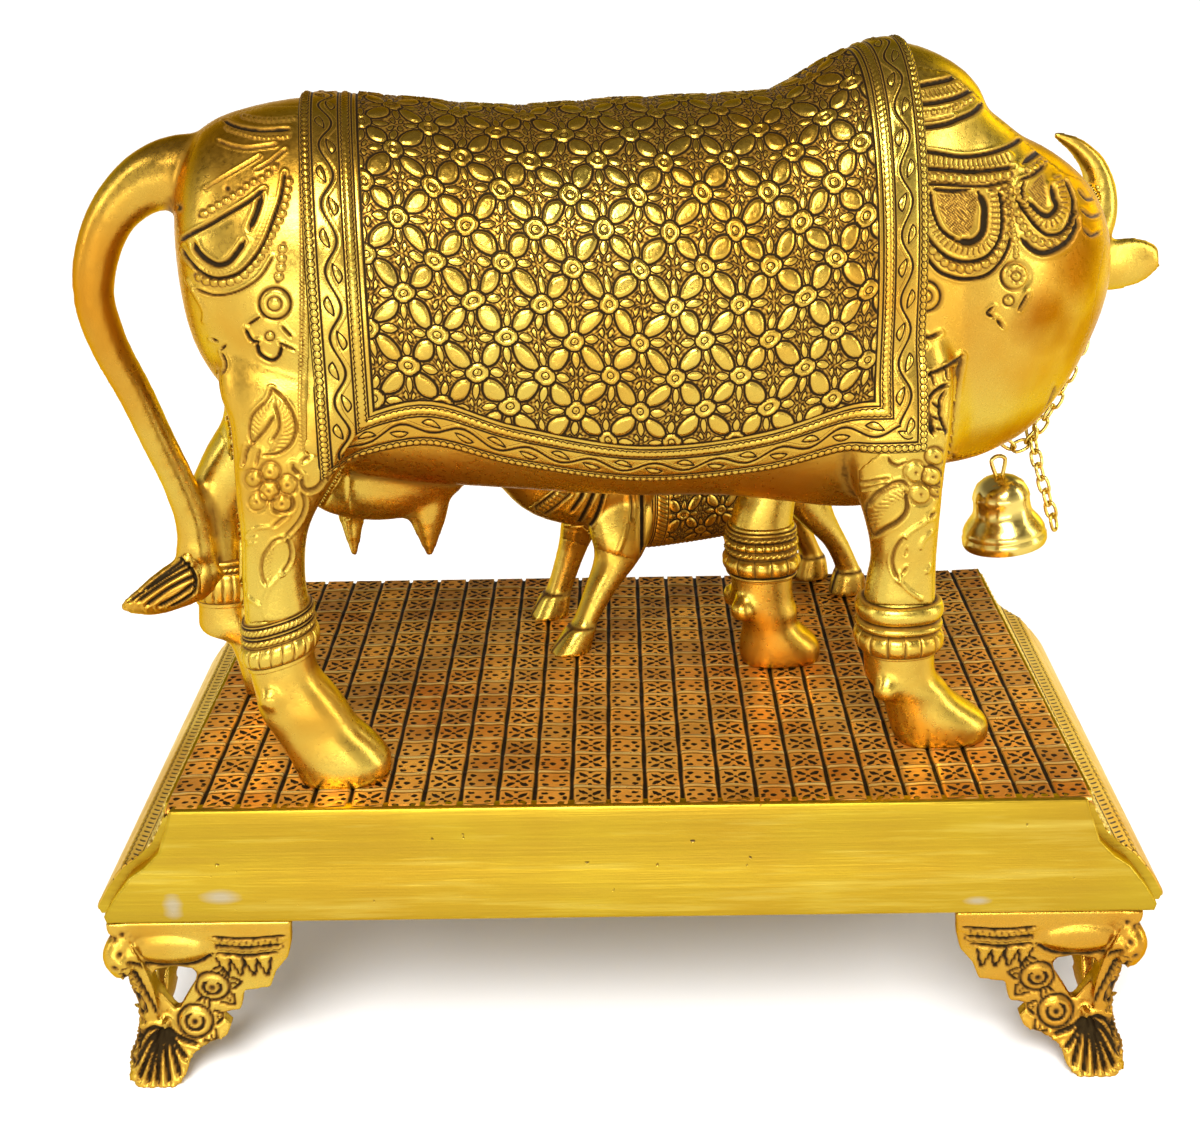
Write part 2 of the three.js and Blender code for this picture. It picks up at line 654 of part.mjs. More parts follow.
// The bell: a thin lathe-turned cup with a flared lip, on a bent wire
function bellProfile() {
  const r = BELL_RADIUS;
  const h = BELL_HEIGHT;
  const inside = [[0, h * 1.02 - BELL_WALL], [r * 0.3, h * 0.98 - BELL_WALL], [r * 0.6 - BELL_WALL, h * 0.82],
    [r * 0.63 - BELL_WALL, h * 0.48], [r * 0.94 - BELL_WALL, h * 0.26], [r - BELL_WALL, 0]];
  const outside = [[r, 0], [r, h * 0.12], [r * 0.95, h * 0.27], [r * 0.8, h * 0.36], [r * 0.65, h * 0.46],
    [r * 0.61, h * 0.8], [r * 0.5, h * 0.93], [r * 0.28, h], [0, h * 1.02]];
  return [...inside, ...outside].map(([x, z]) => new THREE.Vector2(x, z));
}

function tubeLoop(centres, radius, sides, normal) {
  const count = centres.length;
  const points = [];
  const faces = [];
  centres.forEach((centre, i) => {
    const along = centres[(i + 1) % count].clone().sub(centres[(i + count - 1) % count]).normalize();
    const outward = new THREE.Vector3().crossVectors(along, normal).normalize();
    for (let k = 0; k < sides; k++) {
      const angle = (2 * Math.PI * k) / sides;
      points.push(centre.clone().addScaledVector(outward, radius * Math.cos(angle))
        .addScaledVector(normal, radius * Math.sin(angle)));
      const next = (i + 1) % count;
      const other = (k + 1) % sides;
      const [a, b, c, d] = [i * sides + k, i * sides + other, next * sides + other, next * sides + k];
      faces.push(a, b, c, a, c, d);
    }
  });
  return closedSolid(points, faces);
}

function bell() {
  const cup = new THREE.LatheGeometry(bellProfile(), 16);
  cup.rotateX(Math.PI / 2);
  const top = BELL_HEIGHT;
  const wire = [[-0.3, 0, top - 0.4], [0.3, 0, top - 0.4], [1.5, 0, top + 5.4], [0, 0, top + 6],
    [-1.5, 0, top + 5.4]];
  const hanger = tubeLoop(wire.map((p) => new THREE.Vector3(...p)), 0.45, 5, AXIS_Y);
  return solidOf(cup).add(hanger);
}

// One oval link: its centre line runs in the plane of the two given directions.
function oval(centre, along, across) {
  const half = (LINK_LENGTH - LINK_WIRE) / 2;
  const side = (LINK_WIDTH - LINK_WIRE) / 2;
  const corners = [[1, 0], [0.6, 0.9], [-0.6, 0.9], [-1, 0], [-0.6, -0.9], [0.6, -0.9]];
  const centres = corners.map(([a, b]) => {
    return centre.clone().addScaledVector(along, a * half).addScaledVector(across, b * side);
  });
  return tubeLoop(centres, LINK_WIRE / 2, 4, new THREE.Vector3().crossVectors(along, across).normalize());
}

// Links along a curve, each turned a quarter from the last, just touching at their ends
function chainAlong(curve, closed) {
  const count = 2 * Math.round(curve.getLength() / LINK_PITCH / 2) + (closed ? 0 : 1);
  const spots = closed ? count : count - 1;
  return Array.from({ length: count }, (_, i) => {
    const place = closed ? (i / spots) % 1 : i / spots;
    const centre = curve.getPointAt(place);
    const along = curve.getTangentAt(place);
    const first = new THREE.Vector3().crossVectors(AXIS_Y, along).normalize();
    const second = new THREE.Vector3().crossVectors(along, first).normalize();
    const lean = THREE.MathUtils.degToRad(i % 2 === 0 ? 45 : -45);
    const across = first.multiplyScalar(Math.cos(lean)).addScaledVector(second, Math.sin(lean));
    return oval(centre, along, across.normalize());
  });
}

// The loop round the neck: sideways from its middle, and height
const CHAIN_MIDDLE = [101, 36.6];
const CHAIN_LOOP = [[0, 108.6], [8.5, 106], [13.6, 99], [15.2, 89], [15, 78], [12.6, 68], [7.4, 55.6],
  [2, 47], [-2.4, 45], [-7, 50], [-12, 62], [-14.6, 75], [-15.2, 89], [-13.6, 99], [-8.5, 106]];
const CHAIN_TAIL = [[103, 36.2, 48.6], [104, 34, 42], [105.6, 32.4, 36], [107.2, 31.8, 31],
  [108.4, 31.6, 27]];

function neckChain() {
  const points = CHAIN_LOOP.map(([across, height]) => {
    return new THREE.Vector3(CHAIN_MIDDLE[0] + across, CHAIN_MIDDLE[1], height);
  });
  const loop = new THREE.CatmullRomCurve3(points, true, "centripetal");
  const tail = new THREE.CatmullRomCurve3(CHAIN_TAIL.map((p) => new THREE.Vector3(...p)));
  return join([...chainAlong(loop, true), ...chainAlong(tail, false)]);
}

// Assembly
const cowGroup = new THREE.Group();
cowGroup.position.set(...COW_PLACE, STAND_TOP + REST_GAP);
cowGroup.rotation.z = COW_TURN;
const bellMesh = pieceMesh("bell", bell(), PALE_GOLD);
bellMesh.position.set(...BELL_PLACE);
bellMesh.rotation.y = -BELL_TILT;
cowGroup.add(pieceMesh("cow", cow(), GOLD), pieceMesh("neck_chain", neckChain(), PALE_GOLD), bellMesh);

const calfGroup = new THREE.Group();
calfGroup.position.set(...CALF_PLACE, STAND_TOP + REST_GAP);
calfGroup.rotation.z = CALF_TURN;
calfGroup.add(pieceMesh("calf", calf(), GOLD));

const statue = new THREE.Group();
statue.add(cowGroup, calfGroup, pieceMesh("stand", stand(), DEEP_GOLD));
for (const [name, signX, signY] of [["foot_front_left", -1, -1], ["foot_front_right", 1, -1],
  ["foot_back_left", -1, 1], ["foot_back_right", 1, 1]]) {
  statue.add(pieceMesh(name, placedFoot(signX, signY), GOLD));
}

// The origin is below the middle of the whole, on the level of the soles.
statue.updateMatrixWorld(true);
const box = new THREE.Box3().setFromObject(statue, true);
const middle = box.getCenter(new THREE.Vector3());
statue.position.set(-middle.x, -middle.y, -box.min.z);

export default statue;
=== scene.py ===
# A cast brass cow in a carved saddle cloth, with her calf, on a tiled stand with bracket feet.
# Tables are in millimetres, in the frames of the cow, the calf and the stand. Meshes are in metres.
from functools import reduce
from math import atan, cos, pi, radians, sin

import bmesh
import bpy
import numpy as np
from mathutils import Matrix, Vector
from mathutils.bvhtree import BVHTree


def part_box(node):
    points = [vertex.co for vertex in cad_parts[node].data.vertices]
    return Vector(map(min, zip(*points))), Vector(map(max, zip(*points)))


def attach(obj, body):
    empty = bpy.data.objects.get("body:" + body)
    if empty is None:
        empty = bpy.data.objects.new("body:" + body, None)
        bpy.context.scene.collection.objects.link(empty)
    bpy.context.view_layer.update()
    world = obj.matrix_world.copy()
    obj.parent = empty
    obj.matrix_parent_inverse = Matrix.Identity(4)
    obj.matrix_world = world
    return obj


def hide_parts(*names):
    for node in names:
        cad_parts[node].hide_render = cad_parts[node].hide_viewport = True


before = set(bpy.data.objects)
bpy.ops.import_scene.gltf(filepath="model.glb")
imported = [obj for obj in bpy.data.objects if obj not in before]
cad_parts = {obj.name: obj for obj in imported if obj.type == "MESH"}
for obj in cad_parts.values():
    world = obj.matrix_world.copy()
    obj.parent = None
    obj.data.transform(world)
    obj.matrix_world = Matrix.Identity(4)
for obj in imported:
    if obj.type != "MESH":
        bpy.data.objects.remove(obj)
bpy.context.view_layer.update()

MM = 0.001

# The stand's driving sizes
STAND_HALF_LENGTH = 107.5
STAND_HALF_DEPTH = 64
FOOT_HEIGHT = 40.2
STAND_TOP = 66
REST_GAP = 0.3
TILE = 7.45
TILE_COLUMNS = 25

# The stand's middle, found from the corner that its front left foot fills
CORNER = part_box("foot_front_left")[0]
STAND_MIDDLE = np.array([CORNER[0] / MM + STAND_HALF_LENGTH, CORNER[1] / MM + STAND_HALF_DEPTH, 0])

# Where the animals stand: place on the stand and turn
COW_PLACE = (0, -19, STAND_TOP + REST_GAP)
COW_TURN = atan(0.12)
CALF_PLACE = (22, 43, STAND_TOP + REST_GAP)
CALF_TURN = radians(203.2)

# The camera of the photograph, 1200 by 1143 pixels
PHOTO_WIDTH = 1200
PHOTO_MIDDLE = (600, 571.5)
FOCAL_PIXELS = 1750
SENSOR = 36
CAMERA_PLACE = (-0.68, -373.81, 233.03)
CAMERA_YAW = radians(-0.707)
CAMERA_PITCH = radians(20.687)
CAMERA_ROLL = radians(-1.102)

CAMERA_FORWARD = np.array([sin(CAMERA_YAW) * cos(CAMERA_PITCH), cos(CAMERA_YAW) * cos(CAMERA_PITCH),
                           -sin(CAMERA_PITCH)])
LEVEL_RIGHT = np.array([cos(CAMERA_YAW), -sin(CAMERA_YAW), 0])
LEVEL_UP = np.cross(LEVEL_RIGHT, CAMERA_FORWARD)
CAMERA_RIGHT = cos(CAMERA_ROLL) * LEVEL_RIGHT + sin(CAMERA_ROLL) * LEVEL_UP
CAMERA_UP = cos(CAMERA_ROLL) * LEVEL_UP - sin(CAMERA_ROLL) * LEVEL_RIGHT


def on_stand(points):
    return (np.asarray(points, float) + STAND_MIDDLE) * MM


def turned(points, turn, place):
    points = np.asarray(points, float)
    c, s = cos(turn), sin(turn)
    x = points[..., 0] * c - points[..., 1] * s + place[0]
    y = points[..., 0] * s + points[..., 1] * c + place[1]
    return on_stand(np.stack([x, y, points[..., 2] + place[2]], -1))


def on_cow(points):
    return turned(points, COW_TURN, COW_PLACE)


def on_calf(points):
    return turned(points, CALF_TURN, CALF_PLACE)


def unit(ways):
    return ways / np.maximum(np.linalg.norm(ways, axis=-1, keepdims=True), 1e-12)


def run_along(curve):
    """How far along a curve each of its points lies."""
    steps = np.linalg.norm(np.diff(curve, axis=0), axis=1)
    return np.concatenate([[0], np.cumsum(steps)])


def between(table, places):
    """The rows of a table at any places within its first column."""
    return np.stack([np.interp(places, table[:, 0], table[:, k]) for k in range(table.shape[1])], -1)


def rim_drop(edge, width):
    """1 on a rim, falling to 0 at the given width inside it."""
    return np.clip(1 - edge / width, 0, 1) ** 2


# Meshes

def select_only(piece):
    bpy.ops.object.select_all(action="DESELECT")
    piece.select_set(True)
    bpy.context.view_layer.objects.active = piece


def new_primitive(add, name, **sizes):
    """A primitive added at its size and place, with nothing else selected."""
    bpy.ops.object.select_all(action="DESELECT")
    add(**sizes)
    piece = bpy.context.object
    piece.name = name
    return piece


def make_piece(name, points, faces):
    mesh = bpy.data.meshes.new(name)
    mesh.from_pydata(np.asarray(points).reshape(-1, 3).tolist(), [], faces)
    mesh.update()
    piece = bpy.data.objects.new(name, mesh)
    bpy.context.scene.collection.objects.link(piece)
    return piece


def apply_modifier(piece, kind, **settings):
    select_only(piece)
    modifier = piece.modifiers.new(kind.title(), kind)
    for key, value in settings.items():
        setattr(modifier, key, value)
    bpy.ops.object.modifier_apply(modifier=modifier.name)


def finish_piece(piece, node, material, sharp=None):
    """Gives a piece its finish and its place in the part. Edges past the sharp angle stay sharp."""
    piece.data.materials.clear()
    piece.data.materials.append(material)
    if sharp is None:
        piece.data.shade_smooth()
    else:
        select_only(piece)
        bpy.ops.object.shade_smooth_by_angle(angle=radians(sharp))
    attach(piece, "root")
    if node is not None:
        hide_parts(node)
    return piece


def values_of(mesh, key):
    values = np.empty(len(mesh.vertices) * 3, np.float32)
    mesh.vertices.foreach_get(key, values)
    return values.reshape(-1, 3).astype(float)


def points_of(mesh):
    return values_of(mesh, "co")


def normals_of(mesh):
    return values_of(mesh, "normal")


def faces_of(mesh):
    return [tuple(face.vertices) for face in mesh.polygons]


def move_points(mesh, points):
    mesh.vertices.foreach_set("co", np.asarray(points, np.float32).ravel())
    mesh.update()


def write_field(mesh, name, values, kind="FLOAT"):
    layer = mesh.attributes.new(name, kind, "POINT")
    key = "value" if kind == "FLOAT" else "vector"
    layer.data.foreach_set(key, np.asarray(values, np.float32).ravel())


def grid_faces(rows, columns, keep=None):
    corner = np.arange(rows * columns).reshape(rows, columns)
    quads = np.stack([corner[:-1, :-1], corner[:-1, 1:], corner[1:, 1:], corner[1:, :-1]], -1)
    if keep is not None:
        quads = quads[keep[:-1, :-1] & keep[:-1, 1:] & keep[1:, 1:] & keep[1:, :-1]]
    return quads.reshape(-1, 4)


def tube_faces(rows, columns):
    start = np.arange(rows - 1)[:, None] * columns
    a = (start + np.arange(columns)).ravel()
    b = (start + (np.arange(columns) + 1) % columns).ravel()
    return np.stack([a, b, b + columns, a + columns], -1).tolist()


def face_outwards(piece):
    select_only(piece)
    bpy.ops.object.mode_set(mode="EDIT")
    bpy.ops.mesh.select_all(action="SELECT")
    bpy.ops.mesh.normals_make_consistent(inside=False)
    bpy.ops.object.mode_set(mode="OBJECT")


# A sheet of squares is closed behind: its rim sinks in, and a flat strip joins its first and last rows.
def closed_sheet(name, points, outward, depth):
    columns, rows = points.shape[:2]
    sheet = np.arange(columns * rows).reshape(columns, rows)
    rim = np.zeros((columns, rows), bool)
    rim[[0, -1], :] = True
    rim[:, [0, -1]] = True
    sunk = np.full((columns, rows), -1)
    sunk[rim] = columns * rows + np.arange(rim.sum())
    all_points = np.vstack([points.reshape(-1, 3), (points - outward * depth)[rim]])
    faces = grid_faces(columns, rows).tolist()
    for line_of in (sheet[:, 0], sheet[:, -1], sheet[0, :], sheet[-1, :]):
        low = sunk.ravel()[line_of]
        faces += np.stack([line_of[:-1], line_of[1:], low[1:], low[:-1]], -1).tolist()
    faces += np.stack([sunk[:-1, 0], sunk[1:, 0], sunk[1:, -1], sunk[:-1, -1]], -1).tolist()
    faces += [sunk[0, :].tolist(), sunk[-1, ::-1].tolist()]
    piece = make_piece(name, all_points, faces)
    work = bmesh.new()
    work.from_mesh(piece.data)
    bmesh.ops.triangulate(work, faces=[f for f in work.faces if len(f.verts) > 4], ngon_method="EAR_CLIP")
    work.to_mesh(piece.data)
    work.free()
    face_outwards(piece)
    return piece


# A sheet with a ragged rim gets a second sheet behind it, and a wall round the rim.
def double_sheet(name, points, outward, faces, depth):
    used = np.unique(faces)
    number = np.full(len(points), -1)
    number[used] = np.arange(len(used))
    faces = number[faces]
    front = points[used]
    back = front - outward[used] * depth
    count = len(used)
    edges = np.stack([faces, np.roll(faces, -1, 1)], -1).reshape(-1, 2)
    key = np.sort(edges, 1) @ np.array([count, 1])
    _, first, times = np.unique(key, return_index=True, return_counts=True)
    rim = edges[first[times == 1]]
    walls = np.stack([rim[:, 1], rim[:, 0], rim[:, 0] + count, rim[:, 1] + count], -1)
    whole = np.vstack([faces, faces[:, ::-1] + count, walls])
    return make_piece(name, np.vstack([front, back]), whole.tolist()), used


# A sheet whose points keep the place they were drawn at, so that its material repeats the drawing
def drawn_sheet(name, points, outward, depth, drawn, field, behind=(0, 0, 0)):
    piece = closed_sheet(name, points, outward, depth)
    places = np.full((len(piece.data.vertices), 3), behind, float)
    places[:points[..., 0].size] = drawn.reshape(-1, 3)
    write_field(piece.data, field, places, "FLOAT_VECTOR")
    return piece


# Lofts, as rows of numbers smoothed by a Catmull-Rom curve

def smooth_rows(rows, steps):
    rows = np.array(rows, float)
    padded = np.vstack([rows[:1], rows, rows[-1:]])
    smooth = []
    for i in range(len(rows) - 1):
        a, b, c, d = padded[i:i + 4]
        for t in np.arange(steps) / steps:
            even = (2 * a - 5 * b + 4 * c - d) * t * t
            odd = (3 * b - a - 3 * c + d) * t ** 3
            smooth.append(0.5 * (2 * b + (c - a) * t + even + odd))
    smooth.append(rows[-1])
    return np.array(smooth)


def oval(angle, reaches, power_up, power_down, grow=0.0):
    right, left, up, down = reaches
    c, s = np.cos(angle), np.sin(angle)
    power = np.where(s >= 0, 2 / power_up, 2 / power_down)
    across = np.sign(c) * np.abs(c) ** power * (np.where(c >= 0, right, left) + grow)
    rise = np.sign(s) * np.abs(s) ** power * (np.where(s >= 0, up, down) + grow)
    return across, rise


# One ring of a loft is its centre, the directions across and up, four reaches and two powers.
def ring_points(ring, angle, grow=0.0):
    centre, across_way, rise_way, reaches, power_up, power_down = ring
    across, rise = oval(angle, reaches, power_up, power_down, grow)
    return centre + across[..., None] * across_way + rise[..., None] * rise_way


def loft(rings, sides):
    angles = 2 * pi * (np.arange(sides) + 0.5) / sides
    rows = np.array([ring_points(ring, angles) for ring in rings])
    count = len(rings) * sides
    points = np.vstack([rows.reshape(-1, 3), rows[0].mean(0), rows[-1].mean(0)])
    faces = tube_faces(len(rings), sides)
    last = count - sides
    for i in range(sides):
        j = (i + 1) % sides
        faces += [(j, i, count), (last + i, last + j, count + 1)]
    return points, faces


AXIS_X = np.array([1.0, 0, 0])
AXIS_Y = np.array([0, 1.0, 0])
AXIS_Z = np.array([0, 0, 1.0])
TRUNK_POWERS = (2.1, 2.4)
NECK_POWERS = (2.1, 1.75)
LEG_POWER = 2.4


def trunk_ring(row):
    along, half, middle, rise, drop = row
    return (np.array([along, 0, middle]), AXIS_Y, AXIS_Z, (half, half, rise, drop), *TRUNK_POWERS)


def leg_ring(row, sign):
    height, back, front, half, across = row
    reach = (front - back) / 2
    centre = np.array([(back + front) / 2, sign * across, height])
    return (centre, AXIS_X, AXIS_Y, (reach, reach, half, half), LEG_POWER, LEG_POWER)


def limb(rows, sides, flat_across=AXIS_Z, steps=4):
    """A round limb along rows of a place, a radius and, where it isn't 1, how thick it is for its width."""
    rows = smooth_rows([list(row) + [1] * (5 - len(row)) for row in rows], steps)
    centres = rows[:, :3]
    rings = []
    for i, row in enumerate(rows):
        along = centres[min(i + 1, len(rows) - 1)] - centres[max(i - 1, 0)]
        along /= np.linalg.norm(along)
        across = np.cross(flat_across, along)
        across /= np.linalg.norm(across)
        radius, thick = row[3], row[3] * row[4]
        rings.append((centres[i], across, np.cross(along, across), (thick, thick, radius, radius), 2, 2))
    return loft(rings, sides)


def joined(parts):
    points = []
    faces = []
    start = 0
    for part_points, part_faces in parts:
        points.append(part_points)
        faces += [[start + i for i in face] for face in part_faces]
        start += len(part_points)
    return np.vstack(points), faces


# One skin over several closed forms that run into each other, as the wax of a casting does
def cast_together(name, parts, place, grain, smoothing):
    points, faces = joined(parts)
    piece = make_piece(name, place(points), faces)
    face_outwards(piece)
    apply_modifier(piece, "REMESH", mode="VOXEL", voxel_size=grain * MM)
    apply_modifier(piece, "SMOOTH", factor=0.5, iterations=smoothing)
    return piece


# How hollow the surface is at each point, in millimetres, averaged over the given number of rounds
def hollows(mesh, rounds=3):
    points = points_of(mesh) / MM
    edges = np.empty(len(mesh.edges) * 2, np.int32)
    mesh.edges.foreach_get("vertices", edges)
    a, b = edges.reshape(-1, 2).T
    count = np.bincount(a, minlength=len(points)) + np.bincount(b, minlength=len(points))
    count = np.maximum(count, 1)

    def neighbours(values):
        total = np.bincount(a, values[b], len(points)) + np.bincount(b, values[a], len(points))
        return total / count

    middle = np.stack([neighbours(points[:, k]) for k in range(3)], -1)
    hollow = np.einsum("ij,ij->i", middle - points, normals_of(mesh))
    for _ in range(rounds):
        hollow = 0.5 * hollow + 0.5 * neighbours(hollow)
    return hollow


# Patterns: the same drawing is worked out for points of a mesh and for the nodes of a material.

class Drawn:
    """A number at every point of a material, joined to others by the signs of arithmetic."""

    def __init__(self, tree, socket):
        self.tree = tree
        self.socket = socket

    def combined(self, operation, *others):
        node = self.tree.nodes.new("ShaderNodeMath")
        node.operation = operation
        for place, value in enumerate((self, *others)):
            if isinstance(value, Drawn):
                self.tree.links.new(value.socket, node.inputs[place])
            else:
                node.inputs[place].default_value = float(value)
        return Drawn(self.tree, node.outputs[0])

    def __add__(self, other):
        return self.combined("ADD", other)

    def __sub__(self, other):
        return self.combined("SUBTRACT", other)

    def __mul__(self, other):
        return self.combined("MULTIPLY", other)

    def __truediv__(self, other):
        return self.combined("DIVIDE", other)

    def __rsub__(self, other):
        return self.combined("MULTIPLY", -1) + other

    __radd__ = __add__
    __rmul__ = __mul__


def worked(operation, by_array, *values):
    drawn = next((v for v in values if isinstance(v, Drawn)), None)
    if drawn is None:
        return by_array(*values)
    if isinstance(values[0], Drawn):
        return values[0].combined(operation, *values[1:])
    return drawn.combined(operation, values[0])


def least(a, b):
    return worked("MINIMUM", np.minimum, a, b)


def most(a, b):
    return worked("MAXIMUM", np.maximum, a, b)


def size_of(a):
    return worked("ABSOLUTE", np.abs, a)


def wave(a):
    return worked("SINE", np.sin, a)


def root(a):
    return worked("SQRT", np.sqrt, a)


def nearest_whole(a):
    return worked("FLOOR", np.floor, a + 0.5)


def turn_of(y, x):
    if isinstance(y, Drawn):
        return y.combined("ARCTAN2", x)
    return np.arctan2(y, x)


def limited(a):
    return most(least(a, 1.0), 0.0)


def below(a, b):
    """1 where a is less than b by more than a hair, 0 where it is more."""
    return limited((b - a) * 40 + 0.5)


def chosen(where, a, b):
    return a * where + b * (1 - where)


def hypot(a, b):
    return root(a * a + b * b)


def line(distance, width):
    """1 on a line and 0 beyond its width."""
    return limited(1.6 - size_of(distance) * (3.2 / width))


def almond(x, y, half_length, half_width):
    """How far outside an almond a point is, in millimetres, and less than nothing inside it."""
    radius = (half_length ** 2 + half_width ** 2) / (2 * half_width)
    lifted = size_of(y) + (radius - half_width)
    return hypot(x, lifted) - radius


def dome(outside, rim, height):
    """A rounded swelling that rises from its outline to its height within the rim."""
    inside = limited(outside * (-1 / rim))
    return (1 - (1 - inside) * (1 - inside)) * height


# The saddle cloth's flower field: ringed buttons with an almond petal on each diagonal

FLOWER_ACROSS = 12.5
FLOWER_RISE = 13.8
DIAGONAL = 9.31


def flower_field(u, v):
    u = u + 0.34 * wave(v * 0.37 + 1.3) + 0.24 * wave(u * 0.61 + v * 0.43)
    v = v + 0.32 * wave(u * 0.33 + 0.4) + 0.24 * wave(v * 0.57 - u * 0.49)
    p = u / FLOWER_ACROSS + v / FLOWER_RISE
    q = u / FLOWER_ACROSS - v / FLOWER_RISE
    p = p - nearest_whole(p)
    q = q - nearest_whole(q)
    x = (p + q) * (FLOWER_ACROSS / 2)
    y = (p - q) * (FLOWER_RISE / 2)
    far = hypot(x, y)
    petal = least(almond((0.5 - size_of(p)) * DIAGONAL, q * DIAGONAL, 2.75, 1.5),
                  almond((0.5 - size_of(q)) * DIAGONAL, p * DIAGONAL, 2.75, 1.5))
    petal = most(petal, 2.2 - far)
    small = almond(size_of(x) - 3.55, y, 1.35, 0.72)
    wedge = almond(size_of(y) - 3.5, x, 1.5, 0.55)
    filler = almond(6.25 - size_of(x), size_of(y) - 0.9, 0.95, 0.5)
    shoot = almond(size_of(y) - 5.9, size_of(x) - 0.85, 0.95, 0.4)
    leaves = most(least(least(small, wedge), least(filler, shoot)), 2.3 - far)
    disc = most(far - 1.82, 0.86 - far)
    boss = far - 0.52
    rays = wave(turn_of(y, x) * 14)
    shoots = limited(0.5 + 0.5 * wave(u * 5.1 + 1.7 * wave(v * 2.3)) * wave(v * 4.7 + 1.5 * wave(u * 2.1)))
    ground = limited(0.5 + 0.5 * rays) * limited((3.0 - far) * 2) * 0.6 + shoots * 0.7
    height = dome(petal, 0.6, 0.42) + dome(leaves, 0.45, 0.26) + dome(disc, 0.3, 0.42)
    height = height + dome(boss, 0.3, 0.3) + ground * 0.1
    edge = most(line(petal - 0.26, 0.8), line(leaves - 0.14, 0.46))
    edge = most(edge, most(line(far - 0.7, 0.36), line(far - 2.06, 0.62)))
    bare = limited(least(least(petal, leaves), far - 2.1) * 3.2)
    black = most(edge, bare * (0.9 - ground * 1.0))
    black = most(black, line(far - 0.04, 0.3))
    return height, black


# The border runs round three sides: distance from the cloth's edge, and place along it
BORDER = 11.2
PEARL_BAND = (1.25, 1.3)
LINES = ((0.1, 0.6), (2.45, 0.65), (7.4, 0.6), (9.9, 0.55), (10.95, 0.8))
VINE_MIDDLE = 5.0
VINE_SWING = 1.2
VINE_PERIOD = 12.3
ROPE_BAND = (8.65, 1.15)


def pearls(distance, along, middle, pitch, half):
    step = along / pitch
    x = (step - nearest_whole(step)) * pitch
    return hypot(x, distance - middle) - half


def border(distance, along):
    swing = wave(along * (2 * pi / VINE_PERIOD))
    vine = distance - VINE_MIDDLE - swing * VINE_SWING
    leaf_step = along / VINE_PERIOD * 2 + 0.5
    leaf_x = (leaf_step - nearest_whole(leaf_step)) * (VINE_PERIOD / 2)
    leaf_y = distance - VINE_MIDDLE + swing * 1.05
    leaf = almond(leaf_x, leaf_y + leaf_x * 0.25, 1.5, 0.62)
    pearl = pearls(distance, along, PEARL_BAND[0], PEARL_BAND[1], 0.62)
    knot = pearls(distance, along + distance * 0.35, ROPE_BAND[0], ROPE_BAND[1], 0.72)
    height = dome(pearl, 0.5, 0.3) + dome(knot, 0.5, 0.26)
    height = height + dome(size_of(vine - 0.75) - 0.3, 0.3, 0.2) + dome(leaf, 0.4, 0.22)
    black = most(line(vine, 0.8), line(leaf - 0.12, 0.5))
    black = most(black, line(vine - 1.15, 0.26) * 0.5)
    black = most(black, most(line(pearl - 0.1, 0.38), line(knot - 0.1, 0.38)) * 0.9)
    for middle, width in LINES:
        black = most(black, line(distance - middle, width))
    height = height - black * 0.16
    return height, black


def saddle_pattern(u, v, hem, back, front):
    """Height and blackening of the saddle cloth. u runs along, v up, hem is the distance from the hem."""
    ends = least(u - back, front - u)
    on_end = below(ends, hem)
    distance = least(ends, hem)
    along = chosen(on_end, v, u)
    edge_height, edge_black = border(distance, along)
    field_height, field_black = flower_field(u, v)
    inner = below(BORDER, distance)
    return chosen(inner, field_height, edge_height), chosen(inner, field_black, edge_black)


# Brass

GOLD = (0.58, 0.41, 0.066)
WARM_GOLD = (0.52, 0.28, 0.03)
PALE_GOLD = (0.88, 0.68, 0.22)
STAIN = (0.46, 0.17, 0.008)
BROWNED = (0.22, 0.10, 0.012)
# Colour of the neck patches: tarnish, and painted reflection of brown surroundings
NECK_TARNISH_AND_REFLECTION_TINT = (0.30, 0.10, 0.006)
PATINA = (0.010, 0.005, 0.002)
BRASS_SPECULAR = 0.2
BRASS_SHINE = (0.92, 0.66, 0.24, 1)


